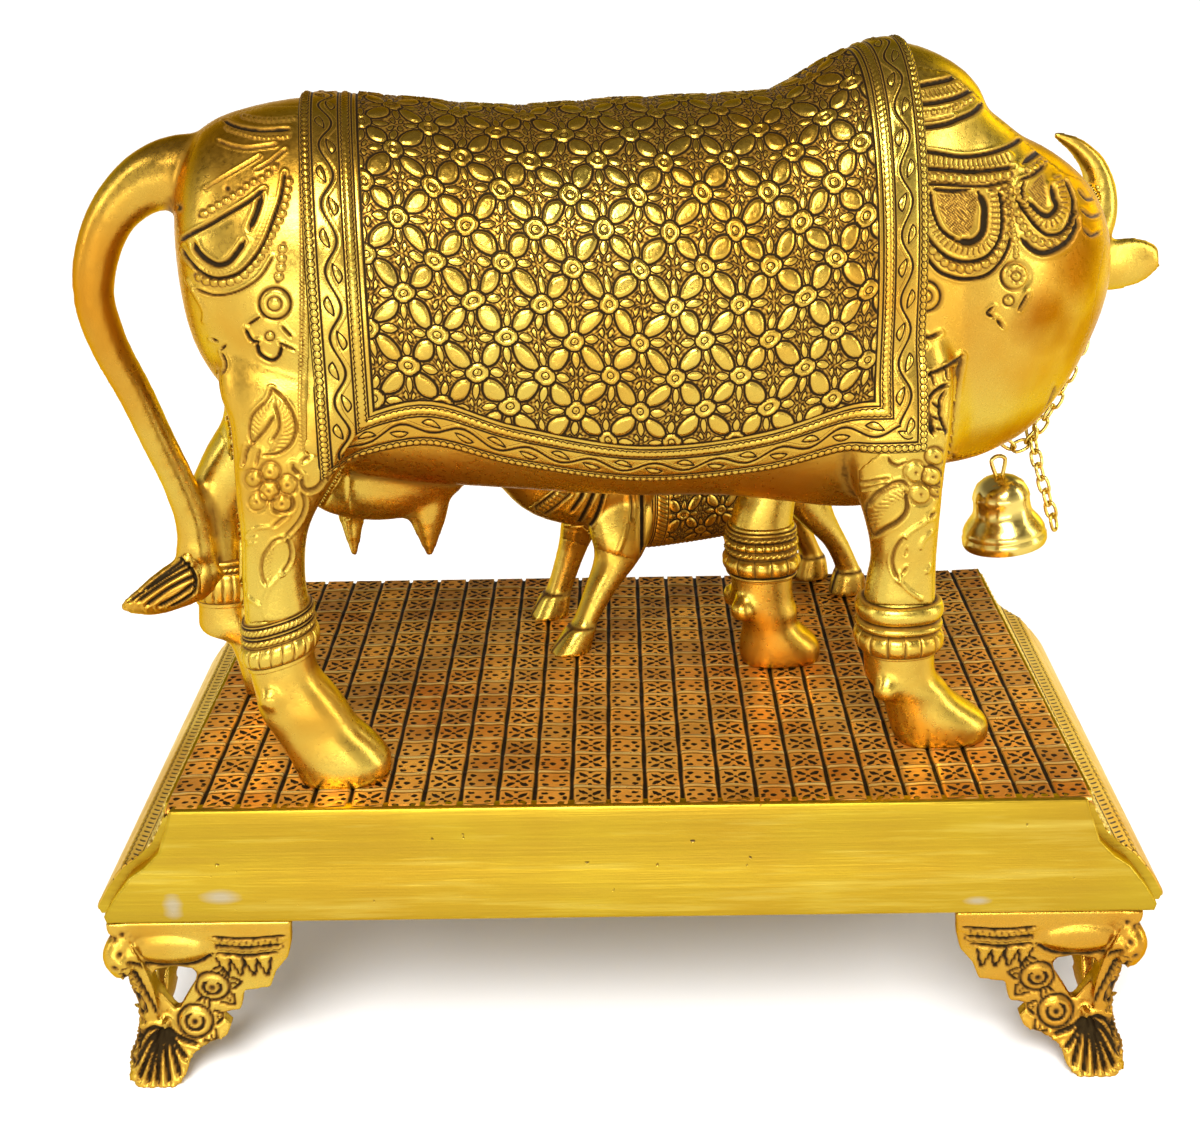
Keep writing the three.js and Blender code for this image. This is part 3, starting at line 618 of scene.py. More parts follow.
class Finish:
    """The nodes of one material, added one after the other."""

    def __init__(self, name):
        self.material = bpy.data.materials.new(name)
        self.material.use_nodes = True
        self.tree = self.material.node_tree
        self.shader = self.tree.nodes["Principled BSDF"]
        self.place = self.tree.nodes.new("ShaderNodeTexCoord").outputs["Object"]
        self.shader.inputs["Specular IOR Level"].default_value = BRASS_SPECULAR
        self.shader.inputs["Specular Tint"].default_value = BRASS_SHINE

    def link(self, start, end):
        self.tree.links.new(start, end)

    def number(self, socket):
        return Drawn(self.tree, socket)

    def noise(self, scale, detail, rough, stretch=None):
        node = self.tree.nodes.new("ShaderNodeTexNoise")
        for name, value in (("Scale", scale), ("Detail", detail), ("Roughness", rough)):
            node.inputs[name].default_value = value
        if stretch is None:
            self.link(self.place, node.inputs["Vector"])
        else:
            mapping = self.tree.nodes.new("ShaderNodeMapping")
            mapping.inputs["Scale"].default_value = stretch
            self.link(self.place, mapping.inputs["Vector"])
            self.link(mapping.outputs[0], node.inputs["Vector"])
        return self.number(node.outputs[0])

    def field(self, name):
        node = self.tree.nodes.new("ShaderNodeAttribute")
        node.attribute_name = name
        return node

    def parts(self, vector):
        split = self.tree.nodes.new("ShaderNodeSeparateXYZ")
        self.link(vector, split.inputs[0])
        return [self.number(split.outputs[k]) for k in range(3)]

    def mixed(self, share, first, second):
        node = self.tree.nodes.new("ShaderNodeMix")
        node.data_type = "RGBA"
        self.feed(share, node.inputs[0])
        self.feed(first, node.inputs[6])
        self.feed(second, node.inputs[7])
        return node.outputs[2]

    def feed(self, value, socket):
        if isinstance(value, Drawn):
            self.link(value.socket, socket)
        elif isinstance(value, bpy.types.NodeSocket):
            self.link(value, socket)
        elif isinstance(value, tuple) and len(value) == 3:
            socket.default_value = (*value, 1)
        else:
            socket.default_value = value

    def bump(self, height, distance, under=None):
        node = self.tree.nodes.new("ShaderNodeBump")
        node.inputs["Strength"].default_value = 1.0
        node.inputs["Distance"].default_value = distance
        self.feed(height, node.inputs["Height"])
        if under is not None:
            self.link(under, node.inputs["Normal"])
        return node.outputs[0]

    def shade(self, colour, roughness, metal, normal):
        for name, value in (("Base Color", colour), ("Roughness", roughness), ("Metallic", metal),
                            ("Normal", normal)):
            self.feed(value, self.shader.inputs[name])
        return self.material


# Orange-brown patches on the neck, partly tarnish and partly painted reflection of brown surroundings, and
# worn
# patches on the front plate: place to the right of the stand's middle, height, reach sideways and reach up
NECK_TARNISH_AND_REFLECTIONS = [(94, 163, 9, 11), (87, 155, 9, 7), (103, 146, 7, 13), (107, 132, 7, 12), (88, 126, 20, 6)]
WORN_PATCHES = [(-83, 46.5, 3.4, 1.5), (-93, 44.5, 1.6, 2.4), (71, 43.4, 2.4, 0.9)]


def patches(finish, table, reach, breaking):
    """Blotches at the places of a table, with outlines broken by a noise."""
    x, _, z = finish.parts(finish.place)
    blotches = []
    for right, height, sideways, rise in table:
        middle = on_stand([right, 0, height])
        far = hypot((x - middle[0]) * (1 / (sideways * MM)), (z - middle[2]) * (1 / (rise * MM)))
        blotches.append(limited(reach - far + breaking))
    return reduce(most, blotches)


# Orange-brown patches, partly tarnish and partly painted reflection, only on the neck's near side
def neck_tarnish_and_reflections(finish, clouds):
    y = finish.parts(finish.place)[1]
    return patches(finish, NECK_TARNISH_AND_REFLECTIONS, 1.25, (clouds - 0.5) * 1.8) * limited((y * -1 + 0.012) * 60) * 0.95


def cast_brass(name, black_and_highlight_of=None, tone=GOLD, warm=WARM_GOLD, rough=0.3, grit=1.0, metal=1.0):
    """Polished cast brass: darker and warmer clouds, pits, a brushed skin, and black where it is told."""
    finish = Finish(name)
    clouds = finish.noise(38, 3, 0.55)
    specks = finish.noise(900, 2, 0.6)
    fine = finish.noise(2600, 2, 0.6)
    colour = finish.mixed(limited(clouds * 3.2 - 1.2), tone, warm)
    colour = finish.mixed(limited(specks * 4 - 2.35) * 0.35, colour, warm)
    stains = finish.noise(15, 2, 0.5)
    colour = finish.mixed(limited(stains * 5.5 - 2.9) * 0.7, colour, STAIN)
    if tone is GOLD:
        # Neck patches: tarnish, and painted reflection of brown surroundings
        colour = finish.mixed(neck_tarnish_and_reflections(finish, clouds), colour, NECK_TARNISH_AND_REFLECTION_TINT)
    roughness = (clouds - 0.5) * 0.25 + (specks - 0.5) * 0.3 + rough
    if black_and_highlight_of is not None:
        black = black_and_highlight_of(finish)
        if isinstance(black, tuple):
            black, bright = black
            # Painted highlight: pale gold on the raised lines and crests that the pattern gives
            colour = finish.mixed(bright, colour, PALE_GOLD)
        broken = limited(black * (0.75 + specks * 0.55))
        colour = finish.mixed(limited(broken * 1.7), colour, BROWNED)
        colour = finish.mixed(limited(broken * 2.2 - 1), colour, PATINA)
        roughness = roughness + broken * 0.3
        metal = metal - broken * metal * 0.85
    normal = finish.bump(clouds * 0.6 + specks * 0.05 * grit, 0.0005)
    normal = finish.bump(fine, 0.00003 * grit, normal)
    return finish.shade(colour, limited(roughness), metal, normal)


def written_black(finish):
    return finish.number(finish.field("blackening").outputs["Fac"])


def drawn_black_and_highlight(field, pattern):
    """The blackening of a pattern, and its painted highlights if it has any, worked out from a written
    place.
    """
    def work(finish):
        drawn = pattern(*finish.parts(finish.field(field).outputs["Vector"]))
        return drawn[1:] if len(drawn) > 2 else drawn[1]
    return work


CAST_BRASS = cast_brass("carved cast brass", written_black)
CHAIN_BRASS = cast_brass("bright wire brass", written_black, PALE_GOLD, GOLD, 0.2, 0.4)

# The cow's trunk: place along, half width, middle height, rise and drop
COW_TRUNK = [
    [-87, 8, 106, 8, 9], [-85, 17, 105.5, 17, 18], [-80.3, 24, 104, 25.2, 25], [-71, 29, 100, 32.6, 32],
    [-58, 31, 97, 37.1, 36], [-42, 31.5, 94.5, 38, 37], [-22, 32, 92.5, 37.8, 37.5],
    [0, 32.3, 91, 40, 38.6], [18, 32, 90.5, 40.8, 39], [32, 31, 91, 41.2, 41.8], [44, 29.5, 92, 46.4, 45],
    [54, 27, 93, 48.6, 46], [64, 22, 93, 46.2, 42], [72.5, 15, 93, 40, 34], [77, 7, 93, 29, 22],
]

# The neck turns to her left: along, across, heading, half thickness, middle height, rise and drop
COW_NECK = [
    [46, 0, 0, 25, 93, 44, 42], [62, 1, 8, 22.5, 93.5, 43, 41], [74, 3.5, 20, 20.3, 92.5, 36, 39.5],
    [81, 6.5, 30, 19, 92, 31.2, 38], [88, 11, 42, 18, 91.5, 28, 35], [96.5, 20.5, 62, 15, 90.5, 23, 25],
    [101, 31, 80, 12.8, 88.5, 19, 19], [101, 40, 90, 11, 86, 13.5, 13],
]

HEAD_PLACE = np.array([101.0, 40, 87])
HEAD_PITCH = radians(40)
HEAD_ROWS = [
    [-9, 6, 6, 6], [-5, 10.5, 10.5, 11], [2, 13, 12, 14], [11, 13, 11.5, 14], [21, 10.5, 9.5, 12],
    [31, 8.2, 8, 9.5], [39, 8, 7.5, 8.5], [45, 7.6, 6.2, 7.4], [49, 4.5, 3.5, 4.5],
]
HEAD_FORWARD = np.array([0, cos(HEAD_PITCH), -sin(HEAD_PITCH)])
HEAD_UP = np.array([0, sin(HEAD_PITCH), cos(HEAD_PITCH)])

# Horn and ear: sideways from the middle of the poll, to her left and up, with a radius
HORN_ROWS = [
    [6, 1, 1, 5], [12.4, 3, 4, 5], [17.3, 5, 9, 4.5], [18.2, 6, 15.5, 3.9], [16.4, 7, 22, 3],
    [11.4, 7, 27, 2], [6, 7, 29.6, 0.8],
]
EAR_ROWS = [
    [10, 1, -0.6, 3.4, 0.9], [17, 3, -0.8, 5.6, 0.6], [24, 5, -0.8, 6.2, 0.42], [30, 6.5, -0.4, 5.4, 0.42],
    [34.2, 7, 0, 2.8, 0.6],
]

# Brow: sideways, up and radius
BROW_ROWS = [(9, 3, 3.4), (12.4, 3.4, 2.9), (14, 3.6, 1.2)]

# Legs: height, back, front, half width and place across. The anklets are pieces of their own.
NEAR_HIND = [
    [96, -78, -50, 5, 20], [84, -79.8, -48, 9, 21.5], [76, -78.2, -51.2, 9.2, 22.2],
    [62, -78.3, -60.8, 8, 23], [54, -78.1, -65, 7, 23], [45, -78.7, -66.3, 6.4, 23],
    [38, -78.9, -66, 6.5, 23], [25.5, -78.9, -65.6, 6.7, 23], [20, -78.2, -62.4, 6.9, 23],
    [16, -77.8, -60, 7.3, 23], [12, -75.8, -58, 7, 23], [8.6, -74, -54.8, 7.4, 23],
    [4, -72, -51.8, 7.9, 23], [0, -70.8, -52.2, 7.7, 23],
]
FAR_HIND = [
    [96, -78, -50, 5, 20], [80, -82.5, -50, 9, 22], [66, -84.2, -58, 8.6, 22.8], [59, -88.4, -66, 8, 23],
    [50, -93, -76, 7, 23], [42, -94.3, -80.8, 6.4, 23], [34.5, -93.8, -81, 6.4, 23],
    [22.5, -93.8, -80.6, 6.5, 23], [16.4, -93.9, -78.5, 7, 23], [14, -88.6, -77, 6.6, 23],
    [8, -86.4, -72.8, 7.2, 23], [0, -85.2, -69.5, 7.2, 23],
]
NEAR_FORE = [
    [96, 42, 58, 4, 19], [82, 41, 63.5, 7, 21.5], [70, 41, 63.6, 8, 23], [60, 43, 62.5, 7.6, 23.3],
    [52, 46.2, 62.1, 7, 23.5], [42, 48.6, 61.7, 6.4, 23.5], [33, 47.4, 62, 6.6, 23.5],
    [16.8, 48, 62.6, 6.8, 23.5], [13.4, 49.4, 65, 7.1, 23.5], [10, 52, 67.4, 6.9, 23.5],
    [4.5, 53.6, 74.6, 7.6, 23.5], [0, 55, 75, 7.4, 23.5],
]
FAR_FORE = [
    [82, 26, 48, 4, 18], [64, 27, 50, 8, 22], [54, 30, 46, 7.3, 22.5], [44, 31, 43.6, 6.6, 22.5],
    [35, 27.9, 42, 6.8, 22.5], [17, 28.4, 42.4, 6.9, 22.5], [13, 29, 43.8, 7.1, 22.5],
    [9.6, 31, 43.6, 6.8, 22.5], [4.5, 30.3, 48.9, 7.3, 22.5], [0, 30.2, 49.2, 7.3, 22.5],
]

TAIL_ROWS = [
    [-78, 0, 119, 9], [-86, 0, 120.5, 7.4], [-93, 0.5, 118.5, 5.9], [-99.3, 1, 113, 4.8],
    [-103.5, 2, 105, 4.4], [-105.2, 3, 96, 4.2], [-103.6, 5, 86, 3.9], [-100, 8, 75, 3.7],
    [-97, 11, 64, 3.6], [-94.2, 14, 54, 3.6], [-92.2, 16, 44, 3.9], [-92.2, 16.5, 36, 4.6],
]
TUFT_ROWS = [
    [-88, 17, 34, 3, 1], [-92.6, 16.5, 31.4, 5.4, 0.7], [-98, 15.5, 29, 5.2, 0.7],
    [-103.6, 14, 27, 3.8, 0.7], [-109, 12, 26.4, 1.2, 0.8],
]
# Dewclaws behind the hooves: place, then radius
DEWCLAWS = [
    (-75, -28.4, 20.5, 2.7), (50.8, -28.8, 13.8, 2.9), (29.2, 17.2, 14.6, 3.1), (29.2, 27, 14.6, 3.1),
]

UDDER_ROWS = [[-66, 0, 64, 6], [-60, 0, 61, 11], [-50, 0, 61, 13], [-40, 0, 62.5, 11.5], [-31, 0, 65, 6]]
TEATS = [[-57.5, 4, 38, 3.6], [-41.5, -4, 40, 4.6]]

COW_GRAIN = 0.99
COW_SMOOTHING = 5


def neck_ring(row):
    along, across, heading, half, middle, rise, drop = row
    turn = radians(heading)
    sideways = np.array([-sin(turn), cos(turn), 0])
    return (np.array([along, across, middle]), sideways, AXIS_Z, (half, half, rise, drop), *NECK_POWERS)


def head_point(side, forward, up):
    return HEAD_PLACE + side * AXIS_X + forward * HEAD_FORWARD + up * HEAD_UP


def head_forms():
    rings = []
    for forward, half, rise, drop in smooth_rows(HEAD_ROWS, 3):
        reaches = (half, half, rise, drop)
        rings.append((head_point(0, forward, 0), AXIS_X, HEAD_UP, reaches, 2.2, 2.2))
    forms = [loft(rings, 32)]
    for sign in (-1, 1):
        for rows, flat_across in ((HORN_ROWS, AXIS_Y), (EAR_ROWS, AXIS_Z)):
            placed = [[*(HEAD_PLACE + (sign * side, left, up)), *rest] for side, left, up, *rest in rows]
            forms.append(limb(placed, 20, flat_across))
        brow = [[*head_point(sign * side, 12, up), radius, 0.7] for side, up, radius in BROW_ROWS]
        forms.append(limb(brow, 12))
    return forms


def teat(x, y, tip, radius):
    rows = [[x, y, 58, radius], [x, y, 51, radius], [x, y, tip + 3, radius * 0.4], [x, y, tip, 0.7]]
    return limb(rows, 16, AXIS_Y)


def face_marks(body):
    """Eyes, nostrils and mouth, cut on both sides of her face. Gives the blackening they hold."""
    points = points_of(body.data)
    normals = normals_of(body.data)
    start = on_cow(HEAD_PLACE)
    side, ahead, up = ((on_cow(HEAD_PLACE + way) - start) / MM for way in (AXIS_X, HEAD_FORWARD, HEAD_UP))
    away = (points - start) / MM
    carving = Carving(away @ ahead, away @ up)
    for width in (1.5, 0.9):
        carving.groove([(7.4, 2.4), (11, 5.2), (15.4, 3.4), (18, 1.2)], width, 0.3, 0.9)
    carving.groove([(8, 1.6), (12, 0.2), (17.4, 0.8)], 1.2, 0.4, 0.9)
    carving.dot(12.4, 2.4, 1.2, -0.5, 0.8)
    carving.groove([(33, -3.6), (40, -3), (48.6, -1.4)], 1.3, 0.5, 0.95)
    carving.dot(44.6, 2, 1.5, 0.7, 0.95)
    on_head = np.clip(np.abs(normals @ side) * 3 - 0.6, 0, 1) * (np.abs(away @ side) < 15)
    on_head *= (away @ ahead > 5) & (away @ ahead < 50) & (np.abs(away @ up) < 12)
    move_points(body.data, points + normals * (carving.height * on_head * MM)[:, None])
    return carving.black * on_head


def cow_body():
    forms = [loft([trunk_ring(row) for row in smooth_rows(COW_TRUNK, 3)], 64)]
    forms.append(loft([neck_ring(row) for row in smooth_rows(COW_NECK, 5)], 64))
    forms += head_forms()
    for rows, sign in ((NEAR_HIND, -1), (FAR_HIND, 1), (NEAR_FORE, -1), (FAR_FORE, 1)):
        forms.append(loft([leg_ring(row, sign) for row in smooth_rows(rows, 3)], 32))
    forms += [limb(TAIL_ROWS, 20), limb(TUFT_ROWS, 20), limb(UDDER_ROWS, 28)]
    forms += [teat(*row) for row in TEATS]
    for x, y, z, radius in DEWCLAWS:
        rows = [[x + 2, y, z + 1, radius * 0.7], [x, y, z, radius], [x - 2, y, z - 1.4, 0.8]]
        forms.append(limb(rows, 14))
    body = cast_together("cow_body", forms, on_cow, COW_GRAIN, COW_SMOOTHING)
    marks = face_marks(body)
    black = np.maximum(hollows(body.data) * 14 - 0.25, marks)
    write_field(body.data, "blackening", np.clip(black, 0, 0.95))
    return finish_piece(body, "cow", CAST_BRASS)


# The saddle cloth: its ends, the height of its hem, and its thickness
CLOTH_BACK = -61.5
CLOTH_FRONT = 57
CLOTH_THICKNESS = 0.9
CLOTH_HEM = [[-61.5, 66], [-42, 71], [-24, 65.5], [0, 60.5], [24, 61.5], [42, 65.5], [57, 66]]
CLOTH_COLUMNS = 346
NEAR_ROWS = 258
FAR_ROWS = 110
CLOTH_SUNK = 1.6
LEG_SHOULDER = 60
RIM_DROP = 0.55
RIM_WIDTH = 0.5
BEHIND_CLOTH = (0, 0, -5)


def hem_angle(row, hem):
    _, _, middle, _, drop = row
    sink = np.clip((middle - hem) / (drop + CLOTH_THICKNESS), 0, 0.96)
    return -np.arcsin(sink ** (TRUNK_POWERS[1] / 2))


def cloth_side(table, ends, hem_table, columns, rows, sign):
    """Points of one side of a cloth, from hem to spine, with their place along, up and from the hem."""
    places = np.linspace(*ends, columns)
    hems = between(smooth_rows(hem_table, 8), places)[:, 1]
    points = np.empty((columns, rows, 3))
    drawn = np.empty((columns, rows, 3))
    for i, row in enumerate(between(smooth_rows(table, 12), places)):
        fine = np.linspace(hem_angle(row, hems[i]), pi / 2, 400)
        ring = trunk_ring(row)
        length = run_along(ring_points(ring, fine, CLOTH_THICKNESS))
        even = np.linspace(0, length[-1], rows)
        points[i] = ring_points(ring, np.interp(even, length, fine), CLOTH_THICKNESS)
        points[i, :, 1] *= sign
        drawn[i, :, 0] = places[i]
        drawn[i, :, 1] = even - np.interp(0, fine, length)
        drawn[i, :, 2] = even
    return points, drawn


def grid_normals(points):
    return unit(np.cross(np.gradient(points, axis=0), np.gradient(points, axis=1)))


def over_legs(points, legs):
    """A cloth's points pushed out over the tops of the legs, with a soft shoulder round each."""
    along, across, height = points[..., 0], np.abs(points[..., 1]), points[..., 2]
    push = np.zeros(along.shape)
    for rows in legs:
        fine = smooth_rows(rows, 6)[::-1]
        _, back, front, half, place = np.moveaxis(between(fine, height), -1, 0)
        part = np.clip(np.abs(along * 2 - back - front) / (front - back), 0, 1)
        reach = place + (half + CLOTH_THICKNESS) * (1 - part ** LEG_POWER) ** (1 / LEG_POWER)
        under = (part < 1) & (height < fine[-1, 0])
        push = np.maximum(push, np.where(under, reach - across, 0))
    least_push = push
    for axis in (0, 1) * LEG_SHOULDER:
        count = push.shape[axis]
        wide = np.concatenate([push.take([0], axis), push, push.take([-1], axis)], axis)
        push = push / 2 + (wide.take(range(count), axis) + wide.take(range(2, count + 2), axis)) / 4
    points[..., 1] += np.sign(points[..., 1]) * np.maximum(push, least_push)
    return points


def carved_cloth(name, place, table, ends, hem_table, columns, rows, sign, pattern, legs=()):
    points, drawn = cloth_side(table, ends, hem_table, columns, rows, sign)
    points = over_legs(points, legs)
    outward = grid_normals(points)
    outward *= np.sign((outward * (points - points.mean((0, 1)))).sum())
    u, v, hem = (drawn[..., k] for k in range(3))
    edge = np.minimum(np.minimum(u - ends[0], ends[1] - u), hem)
    height = pattern(u, v, hem)[0] - RIM_DROP * rim_drop(edge, RIM_WIDTH)
    carved = place(points + outward * height[..., None])
    return drawn_sheet(name, carved, place(outward) - place(np.zeros(3)), CLOTH_SUNK, drawn, "cloth_place",
                       BEHIND_CLOTH)


def cow_cloth_pattern(u, v, hem):
    return saddle_pattern(u, v, hem, CLOTH_BACK, CLOTH_FRONT)


def saddle_cloth():
    ends = (CLOTH_BACK, CLOTH_FRONT)
    material = cast_brass("saddle cloth brass", drawn_black_and_highlight("cloth_place", cow_cloth_pattern), rough=0.27)
    for name, rows, sign, legs in (("saddle_cloth_near", NEAR_ROWS, -1, (NEAR_HIND, NEAR_FORE)),
                                   ("saddle_cloth_far", FAR_ROWS, 1, (FAR_HIND, FAR_FORE))):
        piece = carved_cloth(name, on_cow, COW_TRUNK, ends, CLOTH_HEM, CLOTH_COLUMNS, rows, sign,
                             cow_cloth_pattern, legs)
        finish_piece(piece, "cow", material)


# Carving: strokes, beads and leaves worked into a surface. Its x and y have any unit, heights millimetres.

class Carving:
    """Height and blackening of a carved surface at its points."""

    def __init__(self, x, y):
        self.x = np.ravel(x).astype(float)
        self.y = np.ravel(y).astype(float)
        self.height = np.zeros(self.x.size)
        self.black = np.zeros(self.x.size)

    def near(self, points, reach, steps=6):
        """Which points are within reach of a smooth curve, how far off, how far along, on which side."""
        curve = smooth_rows(points, steps)
        low, high = curve.min(0) - reach, curve.max(0) + reach
        in_box = (self.x > low[0]) & (self.x < high[0]) & (self.y > low[1]) & (self.y < high[1])
        which = np.flatnonzero(in_box)
        x, y = self.x[which], self.y[which]
        far = np.full(len(which), 1e9)
        along = np.zeros(len(which))
        side = np.zeros(len(which))
        start = 0
        for a, b in zip(curve[:-1], curve[1:]):
            step = b - a
            length = max(np.hypot(*step), 1e-9)
            part = np.clip(((x - a[0]) * step[0] + (y - a[1]) * step[1]) / length ** 2, 0, 1)
            dx, dy = x - a[0] - part * step[0], y - a[1] - part * step[1]
            distance = np.hypot(dx, dy)
            closer = distance < far
            far = np.where(closer, distance, far)
            along = np.where(closer, start + part * length, along)
            side = np.where(closer, (dx * step[1] - dy * step[0]) / length, side)
            start += length
        inside = far < reach
        return which[inside], far[inside], along[inside], side[inside], start

    def about(self, x, y, reach):
        """The points of the surface within reach of a point: which, and how far."""
        far = np.hypot(self.x - x, self.y - y)
        which = np.flatnonzero(far < reach)
        return which, far[which]

    def work(self, which, height, black=0.0):
        self.height[which] += height
        self.black[which] = np.maximum(self.black[which], black)

    def groove(self, points, width, depth=0.4, black=1.0):
        which, far, along, _, total = self.near(points, width * 1.6)
        ends = np.clip(np.minimum(along, total - along) / (width + 1e-6), 0.35, 1)
        part = 1 / (1 + (far / (width / 2 * ends)) ** 4)
        self.work(which, -depth * part, black * np.clip(part * 1.3, 0, 1))

    def ridge(self, points, width, height):
        which, far, *_ = self.near(points, width)
        self.work(which, height * np.clip(1 - (far / (width * 0.7)) ** 2, 0, 1))

    def lined(self, points, width, depth=0.4, black=1.0, lift=0.22):
        """A black stroke with a raised lip on both sides."""
        which, far, *_ = self.near(points, width * 2.4)
        self.work(which, lift * np.exp(-((far - width * 0.95) / (width * 0.4)) ** 2))
        self.groove(points, width, depth, black)

    def beads(self, points, pitch, radius, height, black):
        which, far, along, _, total = self.near(points, radius * 1.9)
        step = total / max(round(total / pitch), 1)
        reach = np.hypot(along - (np.floor(along / step) + 0.5) * step, far) / radius
        self.work(which, height * np.sqrt(np.clip(1 - reach ** 2, 0, 1)),
                  black * np.exp(-((reach - 1.2) / 0.22) ** 2))

    def ribs(self, points, width, pitch, height=0.3, lean=0.0, black=0.7):
        """Short strokes across a band."""
        which, far, along, side, _ = self.near(points, width / 2)
        turn = np.cos(2 * pi * (along + lean * side) / pitch)
        fade = np.clip((width / 2 - far) / (width * 0.12), 0, 1)
        self.work(which, height * (0.5 + 0.5 * turn) * fade,
                  black * np.clip(-turn * 1.6 - 0.5, 0, 1) * fade)

    def ring(self, x, y, radius, width, height, depth, black, side=None):
        """A raised disc with a black groove round it, blackest towards one side if that is given: painted
        shade on that side.
        """
        which, far = self.about(x, y, radius * 1.5 + width)
        crown = height * np.sqrt(np.clip(1 - (far / radius) ** 2, 0, 1))
        groove = np.exp(-((far - radius - width * 0.35) / (width * 0.5)) ** 2)
        if side is not None:
            turn = np.arctan2(self.y[which] - y, self.x[which] - x)
            # Painted shade: the groove grows darker towards the given side
            black = black * (0.55 + 0.45 * np.cos(turn - radians(side)))
        self.work(which, crown - depth * groove, black * groove)

    def dot(self, x, y, radius, depth, black):
        which, far = self.about(x, y, radius * 2)
        part = 1 / (1 + (far / radius) ** 4)
        self.work(which, -depth * part, black * part)

    def inside(self, points, steps=5):
        """Which points lie inside a closed outline."""
        curve = smooth_rows(list(points) + [points[0]], steps)
        within = np.zeros(self.x.size, bool)
        for a, b in zip(curve[:-1], curve[1:]):
            crosses = (a[1] > self.y) != (b[1] > self.y)
            rise = b[1] - a[1] if b[1] != a[1] else 1e-9
            within ^= crosses & (self.x < (b[0] - a[0]) * (self.y - a[1]) / rise + a[0])
        return within

    def field(self, points, height, rim, grain=0.0, black=0.0, pitch=3.4):
        """A raised or sunk field with an outline, its ground plain or stippled."""
        which, far, *_ = self.near(list(points) + [points[0]], max(rim, 1.0))
        edge = np.full(self.x.size, rim)
        edge[which] = far
        part = np.clip(edge / rim, 0, 1) * self.inside(points)
        self.height += height * (1 - (1 - part) ** 2)
        if grain or black:
            bumps = np.sin(self.x * 2 * pi / pitch + 1.7 * np.sin(self.y / pitch))
            bumps = bumps * np.sin(self.y * 2 * pi / pitch + 1.3 * np.sin(self.x / pitch))
            self.height += grain * bumps * part
            self.black = np.maximum(self.black, black * part * np.clip(0.75 - bumps, 0, 1))


def blurred(values, mask, rounds):
    """Averages over neighbours of a grid, only where the mask holds."""
    values = np.where(mask, values, 0.0)
    weight = mask.astype(float)
    for axis in (0, 1) * rounds:
        values, weight = (grid * 0.5 + 0.25 * (np.roll(grid, 1, axis) + np.roll(grid, -1, axis))
                          for grid in (values, weight))
    return np.where(mask, values / np.maximum(weight, 1e-9), 0.0)


PHOTO_STEP = 1.35
LARGEST_STEP = 3.2
CARVED_LIFT = 0.22
SUNK_BELOW = 0.75
SHEET_DEPTH = 0.9
SHORE_STEPS = 5


def seen_depths(base, eye, rays, mask):
    """How far each ray goes to the piece. Rays that miss it or jump in depth leave the mask."""
    tree = BVHTree.FromObject(base, bpy.context.evaluated_depsgraph_get())
    far = np.zeros(mask.shape)
    for i, j in np.argwhere(mask):
        spot, _, _, distance = tree.ray_cast(Vector(eye), Vector(rays[i, j]))
        mask[i, j] = spot is not None
        far[i, j] = distance or 0
    for rows, depths in ((mask, far), (mask.T, far.T)):
        jump = np.abs(np.diff(depths, axis=0)) > LARGEST_STEP * MM
        rows[:-1] &= ~jump
        rows[1:] &= ~jump
        rows[[0, -1]] = False
    return blurred(far, mask, 5)


def sheet_over(name, base, region, draw, node):
    """A carved sheet that lies on a piece as the camera of the photograph sees it, drawn in its pixels."""
    low, high = np.min(region, 0), np.max(region, 0)
    x, y = np.meshgrid(*(np.arange(low[k], high[k], PHOTO_STEP) for k in (0, 1)), indexing="ij")
    carving = Carving(x, y)
    draw(carving)
    eye = on_stand(CAMERA_PLACE)
    rays = unit(CAMERA_FORWARD + CAMERA_RIGHT * ((x - PHOTO_MIDDLE[0]) / FOCAL_PIXELS)[..., None]
                - CAMERA_UP * ((y - PHOTO_MIDDLE[1]) / FOCAL_PIXELS)[..., None])
    mask = carving.inside(region, 1).reshape(x.shape)
    far = seen_depths(base, eye, rays, mask)
    points = (eye + rays * far[..., None]) / MM
    shore = np.zeros(x.shape)
    core = mask
    for _ in range(SHORE_STEPS):
        shore += core
        beside = [np.roll(core, step, axis) for step in (1, -1) for axis in (0, 1)]
        core = reduce(np.logical_and, beside, core)
    shore /= SHORE_STEPS
    normals = masked_normals(points, mask, eye / MM)
    sink_under(base, eye, low, far, shore)
    height = carving.height.reshape(x.shape) * shore + CARVED_LIFT * (1 - 2.2 * (1 - shore) ** 2)
    points = points + normals * height[..., None]
    piece, used = double_sheet(name, points.reshape(-1, 3) * MM, normals.reshape(-1, 3) * MM,
                               grid_faces(*x.shape, keep=mask), SHEET_DEPTH)
    black = np.concatenate([carving.black[used], np.zeros(len(used))])
    write_field(piece.data, "blackening", np.clip(black, 0, 1))
    return finish_piece(piece, node, CAST_BRASS)


def sink_under(base, eye, corner, far, shore):
    """The surface below a carved sheet sinks, so that the sheet's grooves stay open."""
    points = points_of(base.data)
    away = points - eye
    deep = away @ CAMERA_FORWARD
    x = PHOTO_MIDDLE[0] + FOCAL_PIXELS * (away @ CAMERA_RIGHT) / deep
    y = PHOTO_MIDDLE[1] - FOCAL_PIXELS * (away @ CAMERA_UP) / deep
    i = np.round((x - corner[0]) / PHOTO_STEP).astype(int)
    j = np.round((y - corner[1]) / PHOTO_STEP).astype(int)
    there = (i >= 0) & (j >= 0) & (i < far.shape[0]) & (j < far.shape[1])
    i, j = np.where(there, i, 0), np.where(there, j, 0)
    close = np.abs(np.linalg.norm(away, axis=1) - far[i, j]) < 2.2 * MM
    share = np.where(there & close, np.clip((shore[i, j] - 0.35) / 0.6, 0, 1), 0)
    move_points(base.data, points - normals_of(base.data) * (share * SUNK_BELOW * MM)[:, None])


